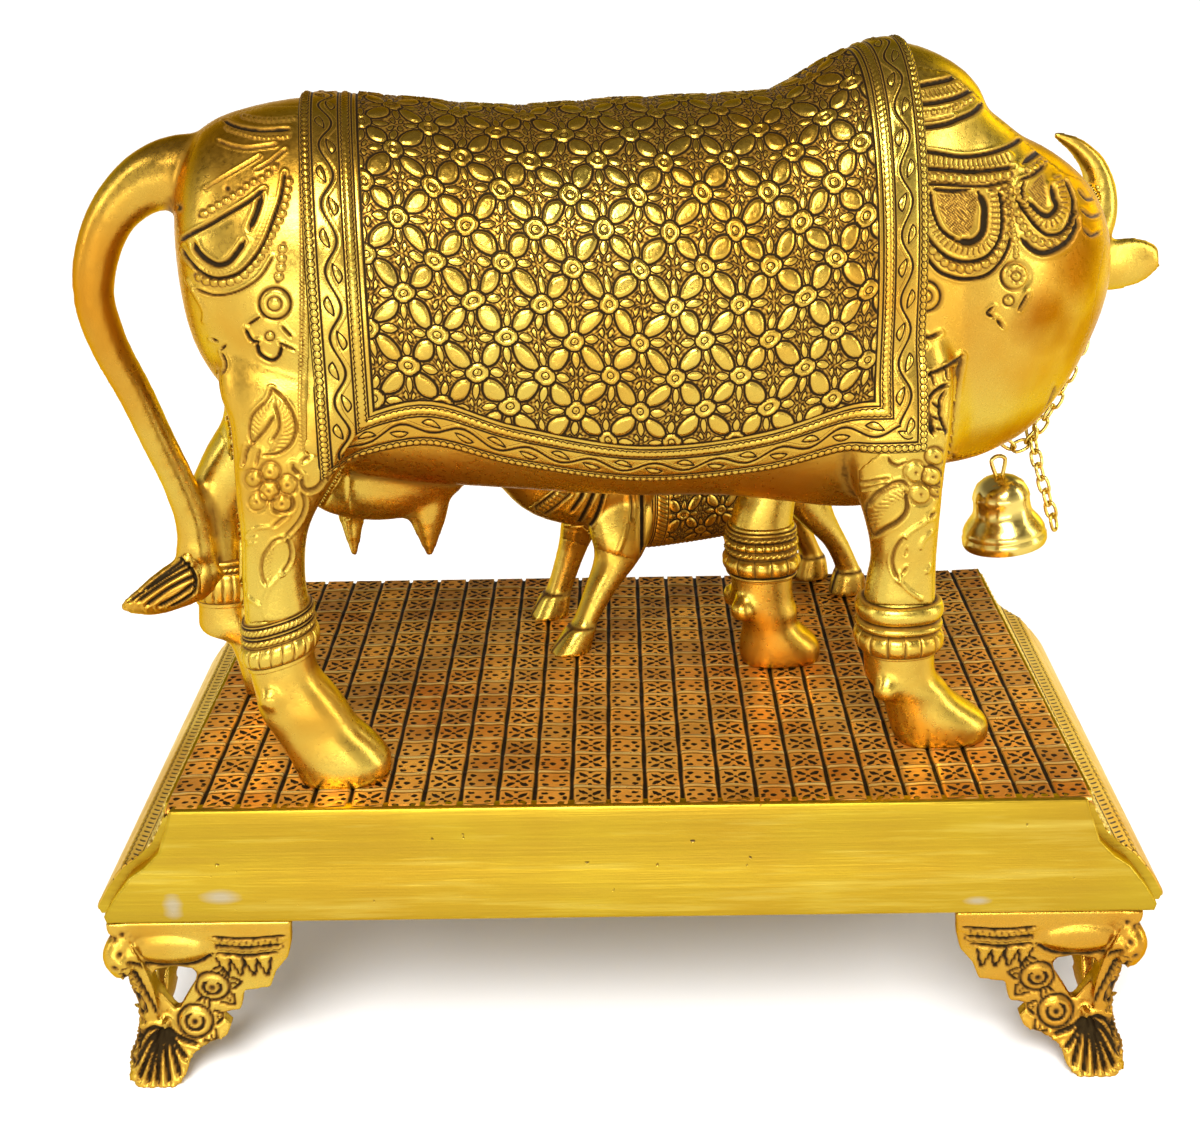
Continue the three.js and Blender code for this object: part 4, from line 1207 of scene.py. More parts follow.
def masked_normals(points, mask, eye):
    slopes = []
    for axis in (0, 1):
        ahead = np.where(np.roll(mask, -1, axis)[..., None], np.roll(points, -1, axis), points)
        behind = np.where(np.roll(mask, 1, axis)[..., None], np.roll(points, 1, axis), points)
        slopes.append(ahead - behind)
    normals = unit(np.cross(*slopes))
    normals = normals * np.sign(np.einsum("ijk,ijk->ij", normals, eye - points))[..., None]
    return np.stack([blurred(normals[..., k], mask, 2) for k in range(3)], -1)


# What is carved on the near hind quarter, in pixels of the photograph
HIND_REGION = [
    (172, 190), (200, 128), (240, 104), (308, 104), (312, 330), (308, 452), (352, 452), (352, 560),
    (322, 622), (236, 626), (232, 470), (176, 320),
]
RUMP_LINES = [
    ([(224, 121), (233, 126), (245, 129.5), (261, 131.5), (277, 131), (290, 130)], 3.2, 1.0),
    ([(218, 141), (230, 146), (246, 149), (264, 147), (277, 145)], 2.6, 0.7),
    ([(205, 190), (224, 178), (241, 168), (261, 156)], 1.8, 0.5),
    ([(256, 171), (270, 163), (286, 150)], 2.4, 0.8),
    ([(181, 241), (194, 233), (210, 225), (230, 213), (250, 201), (264, 190)], 3.6, 1.0),
    ([(195, 243), (199, 252), (209, 261), (219, 265), (229, 262), (237, 253), (245, 241)], 5.0, 1.0),
    ([(250, 229), (257, 213), (262, 196)], 5.0, 1.0),
    ([(183, 249), (190, 260), (202, 272), (215, 278), (229, 277), (242, 271), (256, 256), (266, 239),
      (273, 221), (281, 197), (285, 173)], 3.0, 0.95),
    ([(197, 289), (214, 295), (229, 294), (245, 288), (261, 276), (273, 257)], 2.4, 0.75),
    ([(248, 325), (260, 317)], 2.6, 0.9), ([(246, 329), (252, 340), (260, 341)], 3.2, 1.0),
    ([(258, 342), (260, 353), (271, 360), (279, 356), (282, 345)], 3.4, 1.0),
    ([(279, 342), (295, 350)], 2.6, 0.8), ([(282, 326), (292, 337)], 2.6, 0.8),
    ([(212, 338), (219, 341)], 2.4, 0.9), ([(227, 344), (222, 350)], 2.4, 0.9),
    ([(223, 353), (227, 364), (224, 372), (217, 373)], 2.4, 0.9),
]
RUMP_BEADS = [
    ([(242, 117), (262, 121), (280, 121), (297, 119)], 5.0, 2.2),
    ([(226, 129), (245, 135.5), (266, 139), (290, 137)], 4.6, 2.0),
    ([(201, 216), (209, 211), (217, 206), (224, 202), (234, 196), (241, 192), (250, 184), (258, 181),
      (266, 177), (272, 170), (278, 165)], 8.6, 3.6),
    ([(197, 275), (207, 281), (221, 283), (233, 281), (242, 277), (250, 269), (258, 261), (265, 249),
      (270, 239), (274, 231), (278, 223), (282, 216), (287, 196), (290, 178)], 8.2, 3.5),
    ([(284, 244), (282, 253), (282, 263), (280, 273), (278, 281)], 9.4, 4.0),
    ([(301, 160), (302, 240), (302, 320), (300, 400), (302, 450)], 4.2, 1.7),
]
LEAF_LEFT = [(272, 388), (268, 399), (259, 408), (252, 417), (250, 428), (251, 439), (255, 444)]
LEAF_STEM = [(274, 416), (266, 429), (260, 436), (252, 445), (247, 453), (244, 466)]
LEAF_RIGHT = [
    (272, 388), (282, 396), (291, 409), (296, 424), (295, 435), (290, 445), (279, 453), (264, 455),
]
LEAF_MIDRIB = [(275, 404), (279, 417), (279, 429), (272, 441)]
HIND_LINES = [
    ([(293, 464.5), (294.5, 470), (301, 474.5)], 4.4, 1.0), ([(303, 461), (310, 455.6)], 4.4, 1.0),
    ([(303, 476.8), (302, 484.6), (306.5, 490), (315.4, 488), (322, 481), (322, 472)], 4.0, 1.0),
    ([(325.5, 468), (326.6, 478), (332, 476.8), (331, 469), (338, 464.5)], 3.0, 0.9),
    ([(301, 492), (304.3, 499), (304.3, 508), (299.8, 519), (293, 528), (285.3, 536)], 3.0, 0.85),
    ([(292, 497), (293.5, 504), (290, 510), (282, 512), (273, 510)], 3.4, 0.9),
    ([(286.4, 515.8), (280.8, 520.3), (274, 526)], 3.2, 0.75),
    ([(283, 537.6), (274, 541.5), (267.5, 549.3), (263, 557), (261.3, 568), (263, 578), (266, 584)], 3.0,
      0.8), ([(286, 537.6), (289.2, 543.8), (290.9, 552.7), (288.7, 562.7), (282, 572.8)], 2.8, 0.9),
    ([(247.4, 447), (246, 457), (244.6, 464.5)], 3.2, 0.8), ([(259.6, 450), (256.3, 465.6)], 3.0, 0.8),
]
HIND_RIDGES = [
    [(282, 573), (273, 582.8), (266.9, 592.9), (264, 606), (267, 622)],
    [(267.5, 526.5), (256.3, 528.1), (246.3, 537), (237.3, 548.2), (234, 561.6), (237.3, 578.3),
      (246.3, 594), (259.6, 605.1)], [(188, 279), (196, 293), (205, 310), (205, 321)],
    [(245, 538.7), (256, 537)], [(249.6, 543.2), (255, 542.6)],
]
HIND_BUTTONS = [
    (257.4, 501.3, 8.5, 0.5), (253.5, 478.5, 8, 0.8), (282, 503.2, 8.8, 0.8), (270.2, 471.8, 9, 0.9),
    (287.5, 484.6, 9, 0.9), (269.1, 490.7, 9.8, 0.95),
]


TUFT_REGION = [(120, 598), (150, 570), (188, 550), (204, 566), (203, 596), (162, 616), (124, 614)]
TUFT_HAIRS = [
    [(130, 601), (152, 586), (178, 569), (190, 562)], [(138, 601), (164, 583), (192, 567)],
    [(146, 605), (170, 588), (195, 575)], [(158, 606), (178, 595), (195, 582)],
    [(142, 592), (166, 573), (184, 560)], [(170, 606), (186, 598), (196, 589)],
    [(179, 556), (190, 566), (196, 580), (193, 594)],
]


def tuft_drawing(carving):
    for stroke in TUFT_HAIRS:
        carving.lined(stroke, 3.2, 0.5, 1.0, 0.3)


def hind_quarter_drawing(carving):
    for points, width, black in RUMP_LINES + HIND_LINES:
        carving.lined(points, width, 0.42, black)
    for points, pitch, radius in RUMP_BEADS:
        carving.beads(points, pitch, radius, 0.42, 0.75)
    carving.dot(228, 189, 3, 0.2, 0.9)
    carving.ribs([(197, 268), (212, 272.5), (229, 271), (245, 263), (256, 247), (266, 222), (273, 196)],
                 6, 4.2, 0.12, 0.5, 0.35)
    carving.ring(275, 303.5, 14.7, 3.0, 0.3, 0.45, 1.0)
    carving.ring(275, 303.5, 6.2, 2.2, 0.25, 0.3, 0.9)
    carving.ring(270, 336, 4, 2.0, 0.25, 0.3, 0.9)
    carving.field([(272, 388), (262, 404), (252, 417), (251, 439), (262, 432), (273, 416)], 0.3, 5)
    carving.field([(272, 388), (291, 409), (296, 427), (289, 445), (268, 454), (279, 430)], 0.35, 6)
    for points in (LEAF_LEFT, LEAF_STEM, LEAF_RIGHT, LEAF_MIDRIB):
        carving.lined(points, 2.6, 0.4, 0.95)
    carving.ribs([(284, 402), (289, 418), (288, 434), (277, 447)], 12, 5.2, 0.22, 0.8, 0.85)
    carving.ribs([(267, 404), (258, 417), (256, 434)], 9, 4.6, 0.2, -0.8, 0.85)
    carving.ribs([(270.8, 549), (268, 562), (268.6, 578.3)], 8, 4.2, 0.25, 0.9, 0.6)
    for points in HIND_RIDGES:
        carving.ridge(points, 4.0, 0.32)
    for x, y, radius, black in HIND_BUTTONS:
        carving.ring(x, y, radius, 3.0, 0.4, 0.45, black)
        carving.ring(x, y, radius * 0.62, 1.6, 0.12, 0.12, 0.25)
        carving.dot(x, y, 1.7, 0.35, 1.0)
    carving.dot(179, 208, 3.4, 0.5, 0.9)
    x, y = carving.x, carving.y
    strip = np.clip(1 - np.abs(x - 304) / 8, 0, 1) * (y < 452)
    carving.height += 0.12 * strip * np.sin(y * 1.9 + np.sin(x * 1.3)) * np.sin(x * 1.7)
    carving.black = np.maximum(carving.black, 0.55 * strip * (np.sin(y * 1.9 + 2 * np.sin(x * 1.3)) > 0.2))
    carving.black *= np.interp(y, (360, 400), (1, 0.6))


# What is carved on the neck and the near fore leg
FORE_REGION = [
    (896, 60), (948, 70), (985, 100), (1026, 140), (1062, 170), (1102, 184), (1108, 240), (1092, 330),
    (1060, 400), (1010, 476), (960, 520), (942, 608), (862, 608), (856, 470), (892, 440),
]
COLLAR_LINES = [
    ([(896, 88.5), (913.8, 87.4), (926.5, 84.8), (939.3, 82.3), (950.8, 79.1), (958.4, 72.1)], 4.4, 1.0),
    ([(898, 103), (926.5, 104), (945.7, 100.8), (958.4, 97), (967.3, 92.5), (975, 87.4)], 4.4, 1.0),
    ([(906, 128.2), (926.5, 127.6), (945.7, 124.4), (958.4, 119.3), (972.4, 112.9), (982.7, 102.7)], 4.6,
      1.0), ([(906, 121.8), (925, 121.5), (939, 119.3), (952, 116)], 2.4, 0.6),
    ([(905, 149), (934, 153), (961, 157), (987, 154), (1010, 146), (1021, 138)], 3.8, 1.0),
    ([(905, 167), (941, 170), (972, 172), (1002, 169), (1012, 167)], 3.8, 1.0),
    ([(910, 184), (941, 184.5), (966, 186), (987, 186), (1010, 181)], 3.0, 0.9),
    ([(932, 189), (949, 191), (969, 190)], 3.4, 0.9), ([(1022, 164), (1041, 150)], 5.0, 1.0),
    ([(1019, 180), (1033, 175), (1044, 166)], 3.0, 0.9),
    ([(978, 192), (984, 206), (984, 219), (982, 233), (972, 242), (956, 241)], 6.6, 1.0),
    ([(956, 241), (941, 230), (933, 212), (930, 192)], 3.6, 1.0),
    ([(918, 186), (918, 207), (924, 230), (935, 247), (949, 258), (966, 262), (984, 258), (995, 247),
      (1001, 230), (1001, 207), (998, 192)], 3.4, 1.0),
    ([(920, 241), (926, 256), (937, 270), (949, 276), (964, 279), (984, 276), (998, 265), (1007, 250),
      (1010, 238)], 3.4, 1.0),
    ([(1051, 186), (1053, 198), (1056, 207), (1048, 216), (1038, 212), (1027, 201)], 4.8, 1.0),
    ([(1022, 201), (1021, 190), (1024, 180)], 3.0, 0.9),
    ([(1015, 199), (1025, 213), (1036, 227), (1048, 235), (1062, 232), (1070, 218), (1072, 200),
      (1064, 180)], 3.2, 0.95),
    ([(1021, 238), (1030, 248), (1041, 253), (1054, 250), (1067, 241), (1073, 230), (1076, 219)], 5.0, 1.0),
    ([(993, 307), (987, 313), (993, 317)], 3.0, 0.9), ([(1027, 294), (1018, 310)], 3.0, 0.85),
    ([(996, 319), (1002, 327)], 3.0, 0.85), ([(922, 334), (928, 337.5), (939, 333)], 3.4, 0.9),
    ([(911, 355), (918, 353), (925, 346)], 3.0, 0.8), ([(1077, 190), (1086, 200), (1098, 196)], 2.6, 0.8),
    ([(1080, 210), (1090, 217), (1100, 214)], 2.6, 0.8),
    ([(1082, 228), (1090, 236), (1099, 232)], 2.6, 0.8),
    ([(961, 356), (956, 381), (953, 403), (949, 433), (947, 462)], 4.6, 0.75),
    ([(1055, 386), (1044, 412), (1028, 438), (1008, 460)], 2.8, 0.5),
    ([(947, 465), (958, 466), (968, 470), (975, 469), (981, 463), (989, 459), (995, 463), (1002, 467),
      (1006, 463)], 3.0, 0.9),
]
COLLAR_RIBS = [
    ([(900, 95.5), (926, 94.5), (945, 91), (958, 87), (970, 79)], 11, 4.6, 0.4, 0.9),
    ([(905, 158), (934, 161), (961, 164.5), (987, 163), (1008, 158)], 13, 5.0, 0.2, 0.9),
    ([(924, 186), (924, 207), (932, 227), (946, 244), (966, 251), (984, 247), (993, 235), (994, 207),
      (991, 190)], 10, 5.6, 0.0, 0.8),
    ([(1018, 186), (1022, 199), (1031, 213), (1042, 224), (1054, 222), (1062, 210), (1062, 195),
      (1056, 176)], 9, 5.2, 0.0, 0.8),
]
COLLAR_BEADS = [
    ([(908, 114), (926, 113.5), (945, 110.5), (958, 106), (972, 99)], 5.4, 2.4),
    ([(912, 176), (935, 177.5), (960, 179), (985, 178.5), (1010, 174.5)], 8.2, 3.7),
    ([(929, 247), (937, 256), (946, 264), (955, 267.5), (964, 269), (973, 268), (981, 265), (990, 261),
      (998, 253), (1002, 242), (1005, 230), (1005, 216), (1004, 204), (1001, 190)], 8.4, 3.7),
    ([(1008, 186), (1014, 207), (1021, 224), (1030, 236), (1043, 243), (1056, 242), (1066, 232),
      (1073, 212)], 7.8, 3.4), ([(1026, 172), (1036, 166), (1046, 157)], 6.6, 3.0),
    ([(1003, 183), (1007, 207), (1012, 230), (1015, 247), (1015, 258)], 5.6, 2.4),
]
ACANTHUS = [
    ([(961, 356), (950, 364), (939, 370), (928, 375), (918, 386), (912, 396)], 3.2, 0.95),
    ([(911, 397), (909, 409), (912, 421), (918, 430), (922, 434)], 3.2, 0.9),
    ([(947, 384), (936, 390), (928, 400), (927, 412), (928, 424), (933, 436)], 3.6, 1.0),
    ([(944, 391), (939, 401), (939, 415), (944, 430), (947, 440)], 3.2, 0.9),
    ([(929.8, 414), (931, 424), (933.5, 434.5)], 3.0, 0.9),
    ([(905.6, 433.3), (910.5, 437), (917.7, 433.3)], 4.4, 1.0),
    ([(922, 433.3), (924.4, 438.2), (921.4, 442)], 3.4, 1.0),
    ([(888, 457.6), (891, 462.4), (898.3, 465.5), (905.6, 462.4)], 2.8, 0.75),
    ([(859.5, 483), (872.9, 480.6), (888.6, 478.2)], 2.6, 0.7),
    ([(862, 490), (874, 486.5), (887, 483)], 2.0, 0.45),
    ([(874, 535), (868.5, 523), (866, 509.7), (870, 500), (880.2, 490.3), (893.5, 483), (903.2, 481.6),
      (909.2, 487)], 3.4, 0.9),
    ([(904.4, 491), (906.8, 501.2), (905.6, 512.1), (897.1, 521.8), (885, 528.5), (874, 536)], 4.4, 1.0),
    ([(870, 505), (881, 493.5), (896, 486.5)], 2.4, 0.7), ([(934.7, 512.7), (928.6, 517)], 4.0, 0.9),
    ([(903.2, 537.6), (895.9, 547.3), (892.3, 558.2), (893.5, 569.1), (898.3, 578.8)], 3.2, 0.8),
    ([(906.8, 567.3), (902, 574)], 2.6, 0.7), ([(907, 548), (905, 556)], 2.0, 0.4),
]
FORE_RIDGES = [
    [(928.6, 517), (922.6, 523), (912.9, 529.1), (905, 536)], [(931, 531.5), (922.6, 540), (920.2, 547)],
    [(898.3, 578.8), (908, 589.7), (920.2, 598.2)], [(851.7, 504.8), (858.3, 517)],
    [(929.8, 565.5), (926.2, 571.5)],
]
FORE_BUTTONS = [
    (920.2, 493.9, 9.8, 0.6), (915.3, 472.1, 10, 0.45), (936.5, 491.5, 4.4, 0.9), (934.7, 456.4, 8.4, 0.7),
    (931.7, 476.4, 9.0, 1.0),
]


def fore_quarter_drawing(carving):
    carving.field([(934, 192), (936, 207), (942, 222), (950, 233), (961, 237), (971, 233), (976, 219),
                   (976, 192)], -0.12, 3, 0.14, 0.75)
    carving.field([(1024, 190), (1042, 172), (1047, 190), (1048, 207), (1042, 211), (1033, 204)], -0.12, 3,
                  0.14, 0.7)
    for points, width, black in COLLAR_LINES + ACANTHUS:
        carving.lined(points, width, 0.45, black)
    for points, width, pitch, lean, black in COLLAR_RIBS:
        carving.ribs(points, width, pitch, 0.3, lean, black)
    for points, pitch, radius in COLLAR_BEADS:
        carving.beads(points, pitch, radius, 0.45, 0.8)
    # This ring's groove has painted shade towards its left side
    carving.ring(1015, 276, 12.6, 3.4, 0.35, 0.5, 1.0, 180)
    for turn in range(8):
        angle = 2 * pi * turn / 8
        carving.dot(1015 + 7.6 * cos(angle), 276 + 7.6 * sin(angle), 1.2, 0.2, 0.6)
    carving.ring(1015, 276, 4.2, 2.0, 0.35, 0.3, 0.9)
    carving.ring(1008.5, 300.5, 4.6, 2.2, 0.35, 0.35, 0.9)
    carving.ring(925, 296, 14.2, 3.4, 0.25, 0.45, 1.0)
    carving.ring(925, 296, 5.4, 2.4, 0.3, 0.35, 1.0)
    for points in ([(918, 376), (921, 391)], [(930, 371), (934, 386)], [(944, 366), (947, 380)],
                   [(914, 400), (924, 404)], [(913, 413), (924, 414)], [(931, 402), (938, 408)],
                   [(931, 416), (939, 420)], [(934, 428), (942, 430)]):
        carving.lined(points, 2.6, 0.35, 0.85)
    carving.field([(909, 487), (905, 512), (888, 526), (875, 534), (867, 511), (880, 491), (896, 484)],
                  0.25, 5)
    carving.ribs([(874, 522), (881, 508), (892, 497.5), (901, 494)], 11, 5.0, 0.3, 0.9, 0.8)
    for points in FORE_RIDGES:
        carving.ridge(points, 4.6, 0.38)
    for x, y, radius, black in FORE_BUTTONS:
        carving.ring(x, y, radius, 3.2, 0.42, 0.5, black)
        carving.dot(x, y, 1.7, 0.35, 0.95)
    carving.black *= np.interp(carving.y, (440, 480), (1, 0.72))


# The mane and the straps on the calf's neck
CALF_REGION = [(524, 508), (556, 484), (648, 484), (648, 566), (612, 556), (560, 540)]
CALF_LINES = [
    ([(534, 507.5), (545, 499.5), (556, 491)], 2.4, 0.9), ([(543, 515), (557, 505), (571, 493)], 2.4, 0.85),
    ([(584.3, 490), (579.7, 499), (570.5, 511.3)], 3.4, 1.0),
    ([(595, 490), (587.3, 506.7), (577, 525)], 3.6, 1.0),
    ([(604.2, 490), (599.6, 506.7), (593.5, 520.5), (587.3, 528.2)], 3.4, 1.0),
    ([(630.2, 493), (632, 506), (631, 520.5)], 2.6, 0.6),
    ([(641.5, 486), (641.7, 520), (641.7, 555.7)], 3.6, 1.0),
]


def calf_neck_drawing(carving):
    for points, width, black in CALF_LINES:
        carving.lined(points, width, 0.4, black)
    carving.ribs([(538, 511), (550, 502.5), (563, 492)], 8, 4.6, 0.3, 0.6, 0.8)
    carving.dot(642.5, 557, 2.6, 0.3, 1.0)
    carving.ridge([(628, 494), (627, 515), (622, 540), (612, 566)], 5, 0.35)


# Anklets: stacked rings round a leg, from the top down, each with its start, end, kind, height and pitch

NEAR_HIND_RINGS = [
    (0.5, 1.0, "plain", 0.3, 1), (1.2, 2.7, "rope", 0.75, 0.9), (2.9, 3.4, "plain", 0.45, 1),
    (3.6, 4.9, "rope", 0.85, 1.1), (5.3, 9.6, "lobes", 1.25, 2.1),
]
FAR_HIND_RINGS = [(0.4, 1.6, "plain", 0.6, 1), (1.9, 3.0, "rope", 0.8, 1.0), (3.4, 10.2, "lobes", 1.2, 1.9)]
NEAR_FORE_RINGS = [
    (0.3, 4.3, "plain", 1.35, 1), (4.7, 6.5, "plain", 1.2, 1), (6.9, 11.4, "lobes", 1.6, 3.2),
]
FAR_FORE_RINGS = [
    (1.2, 2.1, "plain", 0.6, 1), (2.3, 3.3, "rope", 0.8, 1.4), (3.7, 5.6, "pearls", 1.1, 2.0),
    (5.9, 7.3, "rope", 1.1, 1.3), (7.8, 11.8, "pearls", 1.6, 3.7), (12.0, 12.6, "plain", 0.8, 1),
]
ANKLET_STEP = 0.24
ANKLET_COLUMNS = 232


def ring_pattern(depth, around, girth, rings):
    height = np.full(depth.shape, 0.15)
    black = np.zeros(depth.shape)
    for start, end, kind, rise, pitch in rings:
        middle, half = (start + end) / 2, (end - start) / 2
        across = (depth - middle) / half
        inside = np.abs(across) < 1
        crown = rise * np.sqrt(np.clip(1 - across ** 2, 0, 1))
        black = np.maximum(black, 0.95 * np.exp(-((np.abs(across) - 1.02) * half / 0.17) ** 2))
        turns = max(round(girth / pitch), 6)
        place = around / girth * turns
        if kind == "rope":
            stroke = np.sin(2 * pi * (place + across * 0.45))
            crown = crown * (0.8 + 0.2 * stroke)
            black = np.maximum(black, inside * np.clip(-stroke * 1.5 - 0.8, 0, 0.8))
        elif kind in ("pearls", "lobes"):
            off = 2 * np.abs(place - np.floor(place) - 0.5)
            round_end = np.clip(1 - off ** (2 if kind == "pearls" else 5), 0, 1)
            crown = crown * (0.45 + 0.55 * np.sqrt(round_end))
            black = np.maximum(black, inside * np.clip((off - 0.86) * 7, 0, 0.9))
        height = np.where(inside, 0.15 + crown, height)
    return height, black


def anklet(name, rows, sign, top, bottom, tilt, rings):
    levels = np.arange(top + 0.2, bottom - 0.6, -ANKLET_STEP)
    curves, outward, around = [], [], []
    for row in between(smooth_rows(rows, 8)[::-1], levels):
        curve = ring_points(leg_ring(row, sign), np.linspace(0, 2 * pi, 721), 0.25)
        length = run_along(curve)
        even = np.linspace(0, length[-1], ANKLET_COLUMNS, endpoint=False)
        points = between(np.column_stack([length, curve]), even)[:, 1:]
        outward.append(unit(np.cross(np.roll(points, -1, 0) - np.roll(points, 1, 0), AXIS_Z)))
        points[:, 2] += tilt * (points[:, 0] - points[:, 0].mean())
        curves.append(points)
        around.append(even)
    count = np.arange(len(levels))
    depth = np.repeat((top - levels)[:, None], ANKLET_COLUMNS, 1)
    height, black = ring_pattern(depth, np.array(around), length[-1], rings)
    shore = np.clip(np.minimum(count, count[::-1]) / 3, 0, 1)[:, None]
    height = height * shore - 1.2 * (1 - shore)
    points = np.array(curves) + np.array(outward) * height[..., None]
    faces = tube_faces(*depth.shape)
    last = (len(levels) - 1) * ANKLET_COLUMNS
    faces += [list(range(ANKLET_COLUMNS)), list(range(last, last + ANKLET_COLUMNS))[::-1]]
    piece = make_piece(name, on_cow(points.reshape(-1, 3)), faces)
    write_field(piece.data, "blackening", np.clip(black, 0, 1))
    face_outwards(piece)
    return finish_piece(piece, "cow", CAST_BRASS)


def anklets():
    for leg, rows, sign, top, bottom, tilt, rings in (
            ("near_hind", NEAR_HIND, -1, 38, 27.2, 0.26, NEAR_HIND_RINGS),
            ("far_hind", FAR_HIND, 1, 34.5, 23, 0, FAR_HIND_RINGS),
            ("near_fore", NEAR_FORE, -1, 33, 20.8, 0, NEAR_FORE_RINGS),
            ("far_fore", FAR_FORE, 1, 35, 21.6, 0, FAR_FORE_RINGS)):
        anklet("anklet_" + leg, rows, sign, top, bottom, tilt, rings)


# The calf: trunk, legs, and a neck that reaches up to the cow
CALF_TRUNK = [
    [-27, 4, 38, 4, 5], [-24, 8, 37, 9, 10], [-16, 10.4, 35.5, 12.5, 14], [-4, 11, 35, 13.5, 14.8],
    [10, 11, 35, 13.8, 15], [21, 10.5, 35.5, 14.5, 15], [30, 8.5, 36, 14, 13.5], [36, 4, 37, 9, 8],
]
CALF_NECK = [
    [20, 0, 38, 12], [34, 0, 38.5, 11.5], [43.5, 1.5, 41, 10], [51, 4, 47, 8.4], [57.5, 6.5, 52.5, 7.6],
    [64, 9.5, 57.5, 6], [69, 12, 61, 4.8], [71, 13, 62.3, 3],
]
CALF_LEGS = [
    [[34, 17, 36, 5.5, 6], [27, 20, 35.5, 5.5, 8], [21, 23.5, 35, 4.8, 9.5], [14, 31, 38.8, 3.4, 11.6],
      [7, 36.6, 42.4, 3, 12.8], [5.6, 37, 44.4, 3.6, 13], [0, 39, 48.6, 4.2, 13.2]],
    [[34, 20, 36, 5.5, -5], [26, 25.2, 36.6, 4.8, -7.5], [18, 29.6, 37, 3.6, -9.5],
      [7, 33.9, 40.1, 3.1, -10.3], [5.6, 34.2, 41.8, 3.6, -10.4], [0, 35.2, 44.8, 4.2, -10.4]],
    [[40, -28, -8, 5.5, 4], [30, -29.5, -15, 5, 5.5], [22, -31.6, -21, 4, 6.8],
      [14, -35.6, -29.2, 3.2, 7.4], [7, -38.9, -32.9, 3, 7.6], [5.6, -39.8, -32.4, 3.6, 7.6],
      [0, -40.8, -31.2, 4.2, 7.6]],
    [[40, -26, -7, 5.5, -4], [30, -26.5, -13.5, 4.8, -5], [22, -28.8, -20.2, 3.7, -5.8],
      [12, -33.4, -27, 3, -6.2], [7, -35.8, -29.8, 3, -6.2], [5.6, -36.8, -29.4, 3.6, -6.2],
      [0, -37.8, -28.2, 4.2, -6.2]],
]
CALF_POLL = (56, 6, 54)
CALF_TOES = [(46, 13.2, 3), (42.5, -10.4, 3), (-31.5, 7.6, 3), (-28.5, -6.2, 3)]
CALF_EYES = [(62, 6, 60.5), (62, 15.4, 58)]
CALF_EAR = [[0, 5, 2, 1.6, 0.6], [-2, 9.5, 4, 3.2, 0.45], [-4, 14, 4.5, 1, 0.6]]
CALF_TAIL = [
    [-23, 0, 44, 2.6], [-28, 0, 42, 2.2], [-30.5, 0, 35, 1.7], [-31, 0, 26, 1.7], [-31, 0, 21, 2.4],
    [-31, 0, 15, 0.7],
]
CALF_HEM = [[-18, 20.4], [2, 20.2], [21.5, 20.2]]
CALF_CLOTH = (-18, 21.5)
BRAID_PITCH = 1.25
CALF_GRAIN = 0.62
CALF_SMOOTHING = 4
CALF_CLOTH_COLUMNS = 132
CALF_CLOTH_ROWS = 120


def braid(distance, along, start, end):
    middle, half = (start + end) / 2, (end - start) / 2
    across = size_of(distance - middle) * (1 / half)
    place = (along + (distance - middle) * 0.55) / BRAID_PITCH
    off = size_of(place - nearest_whole(place))
    inside = limited((1.0 - across) * 8)
    height = inside * (limited((0.46 - off) * 5) * 0.28 + 0.05)
    black = most(inside * limited((off - 0.36) * 9) * 0.85, line(across - 1.08, 0.32) * 0.95)
    return height, black


def calf_cloth_pattern(u, v, hem):
    front = CALF_CLOTH[1] - u
    height, black = flower_field(u * 1.25 + 3, v * 1.25)
    height = height * 0.8
    hem_height, hem_black = braid(hem, u, 0.5, 2.3)
    front_height, front_black = braid(front, v, 2.0, 4.6)
    in_hem = below(hem, 2.9)
    in_front = below(front, 5.2)
    height = chosen(in_front, front_height, height)
    black = chosen(in_front, front_black, black)
    black = most(black, most(line(front - 0.6, 0.5), line(front - 1.4, 0.4)))
    height = chosen(in_hem, hem_height, height)
    black = chosen(in_hem, hem_black, black)
    back = u - CALF_CLOTH[0]
    black = most(black, line(back - 0.8, 0.5))
    return height, black


def calf():
    forms = [loft([trunk_ring(row) for row in smooth_rows(CALF_TRUNK, 4)], 48), limb(CALF_NECK, 32)]
    forms += [loft([leg_ring(row, 1) for row in smooth_rows(rows, 3)], 24) for rows in CALF_LEGS]
    forms.append(limb(CALF_TAIL, 16, AXIS_Y))
    poll, middle, height = CALF_POLL
    for sign in (-1, 1):
        ear = [[poll + x, middle + sign * y, height + z, *rest] for x, y, z, *rest in CALF_EAR]
        forms.append(limb(ear, 16))
    return cast_together("calf_body", forms, on_calf, CALF_GRAIN, CALF_SMOOTHING)


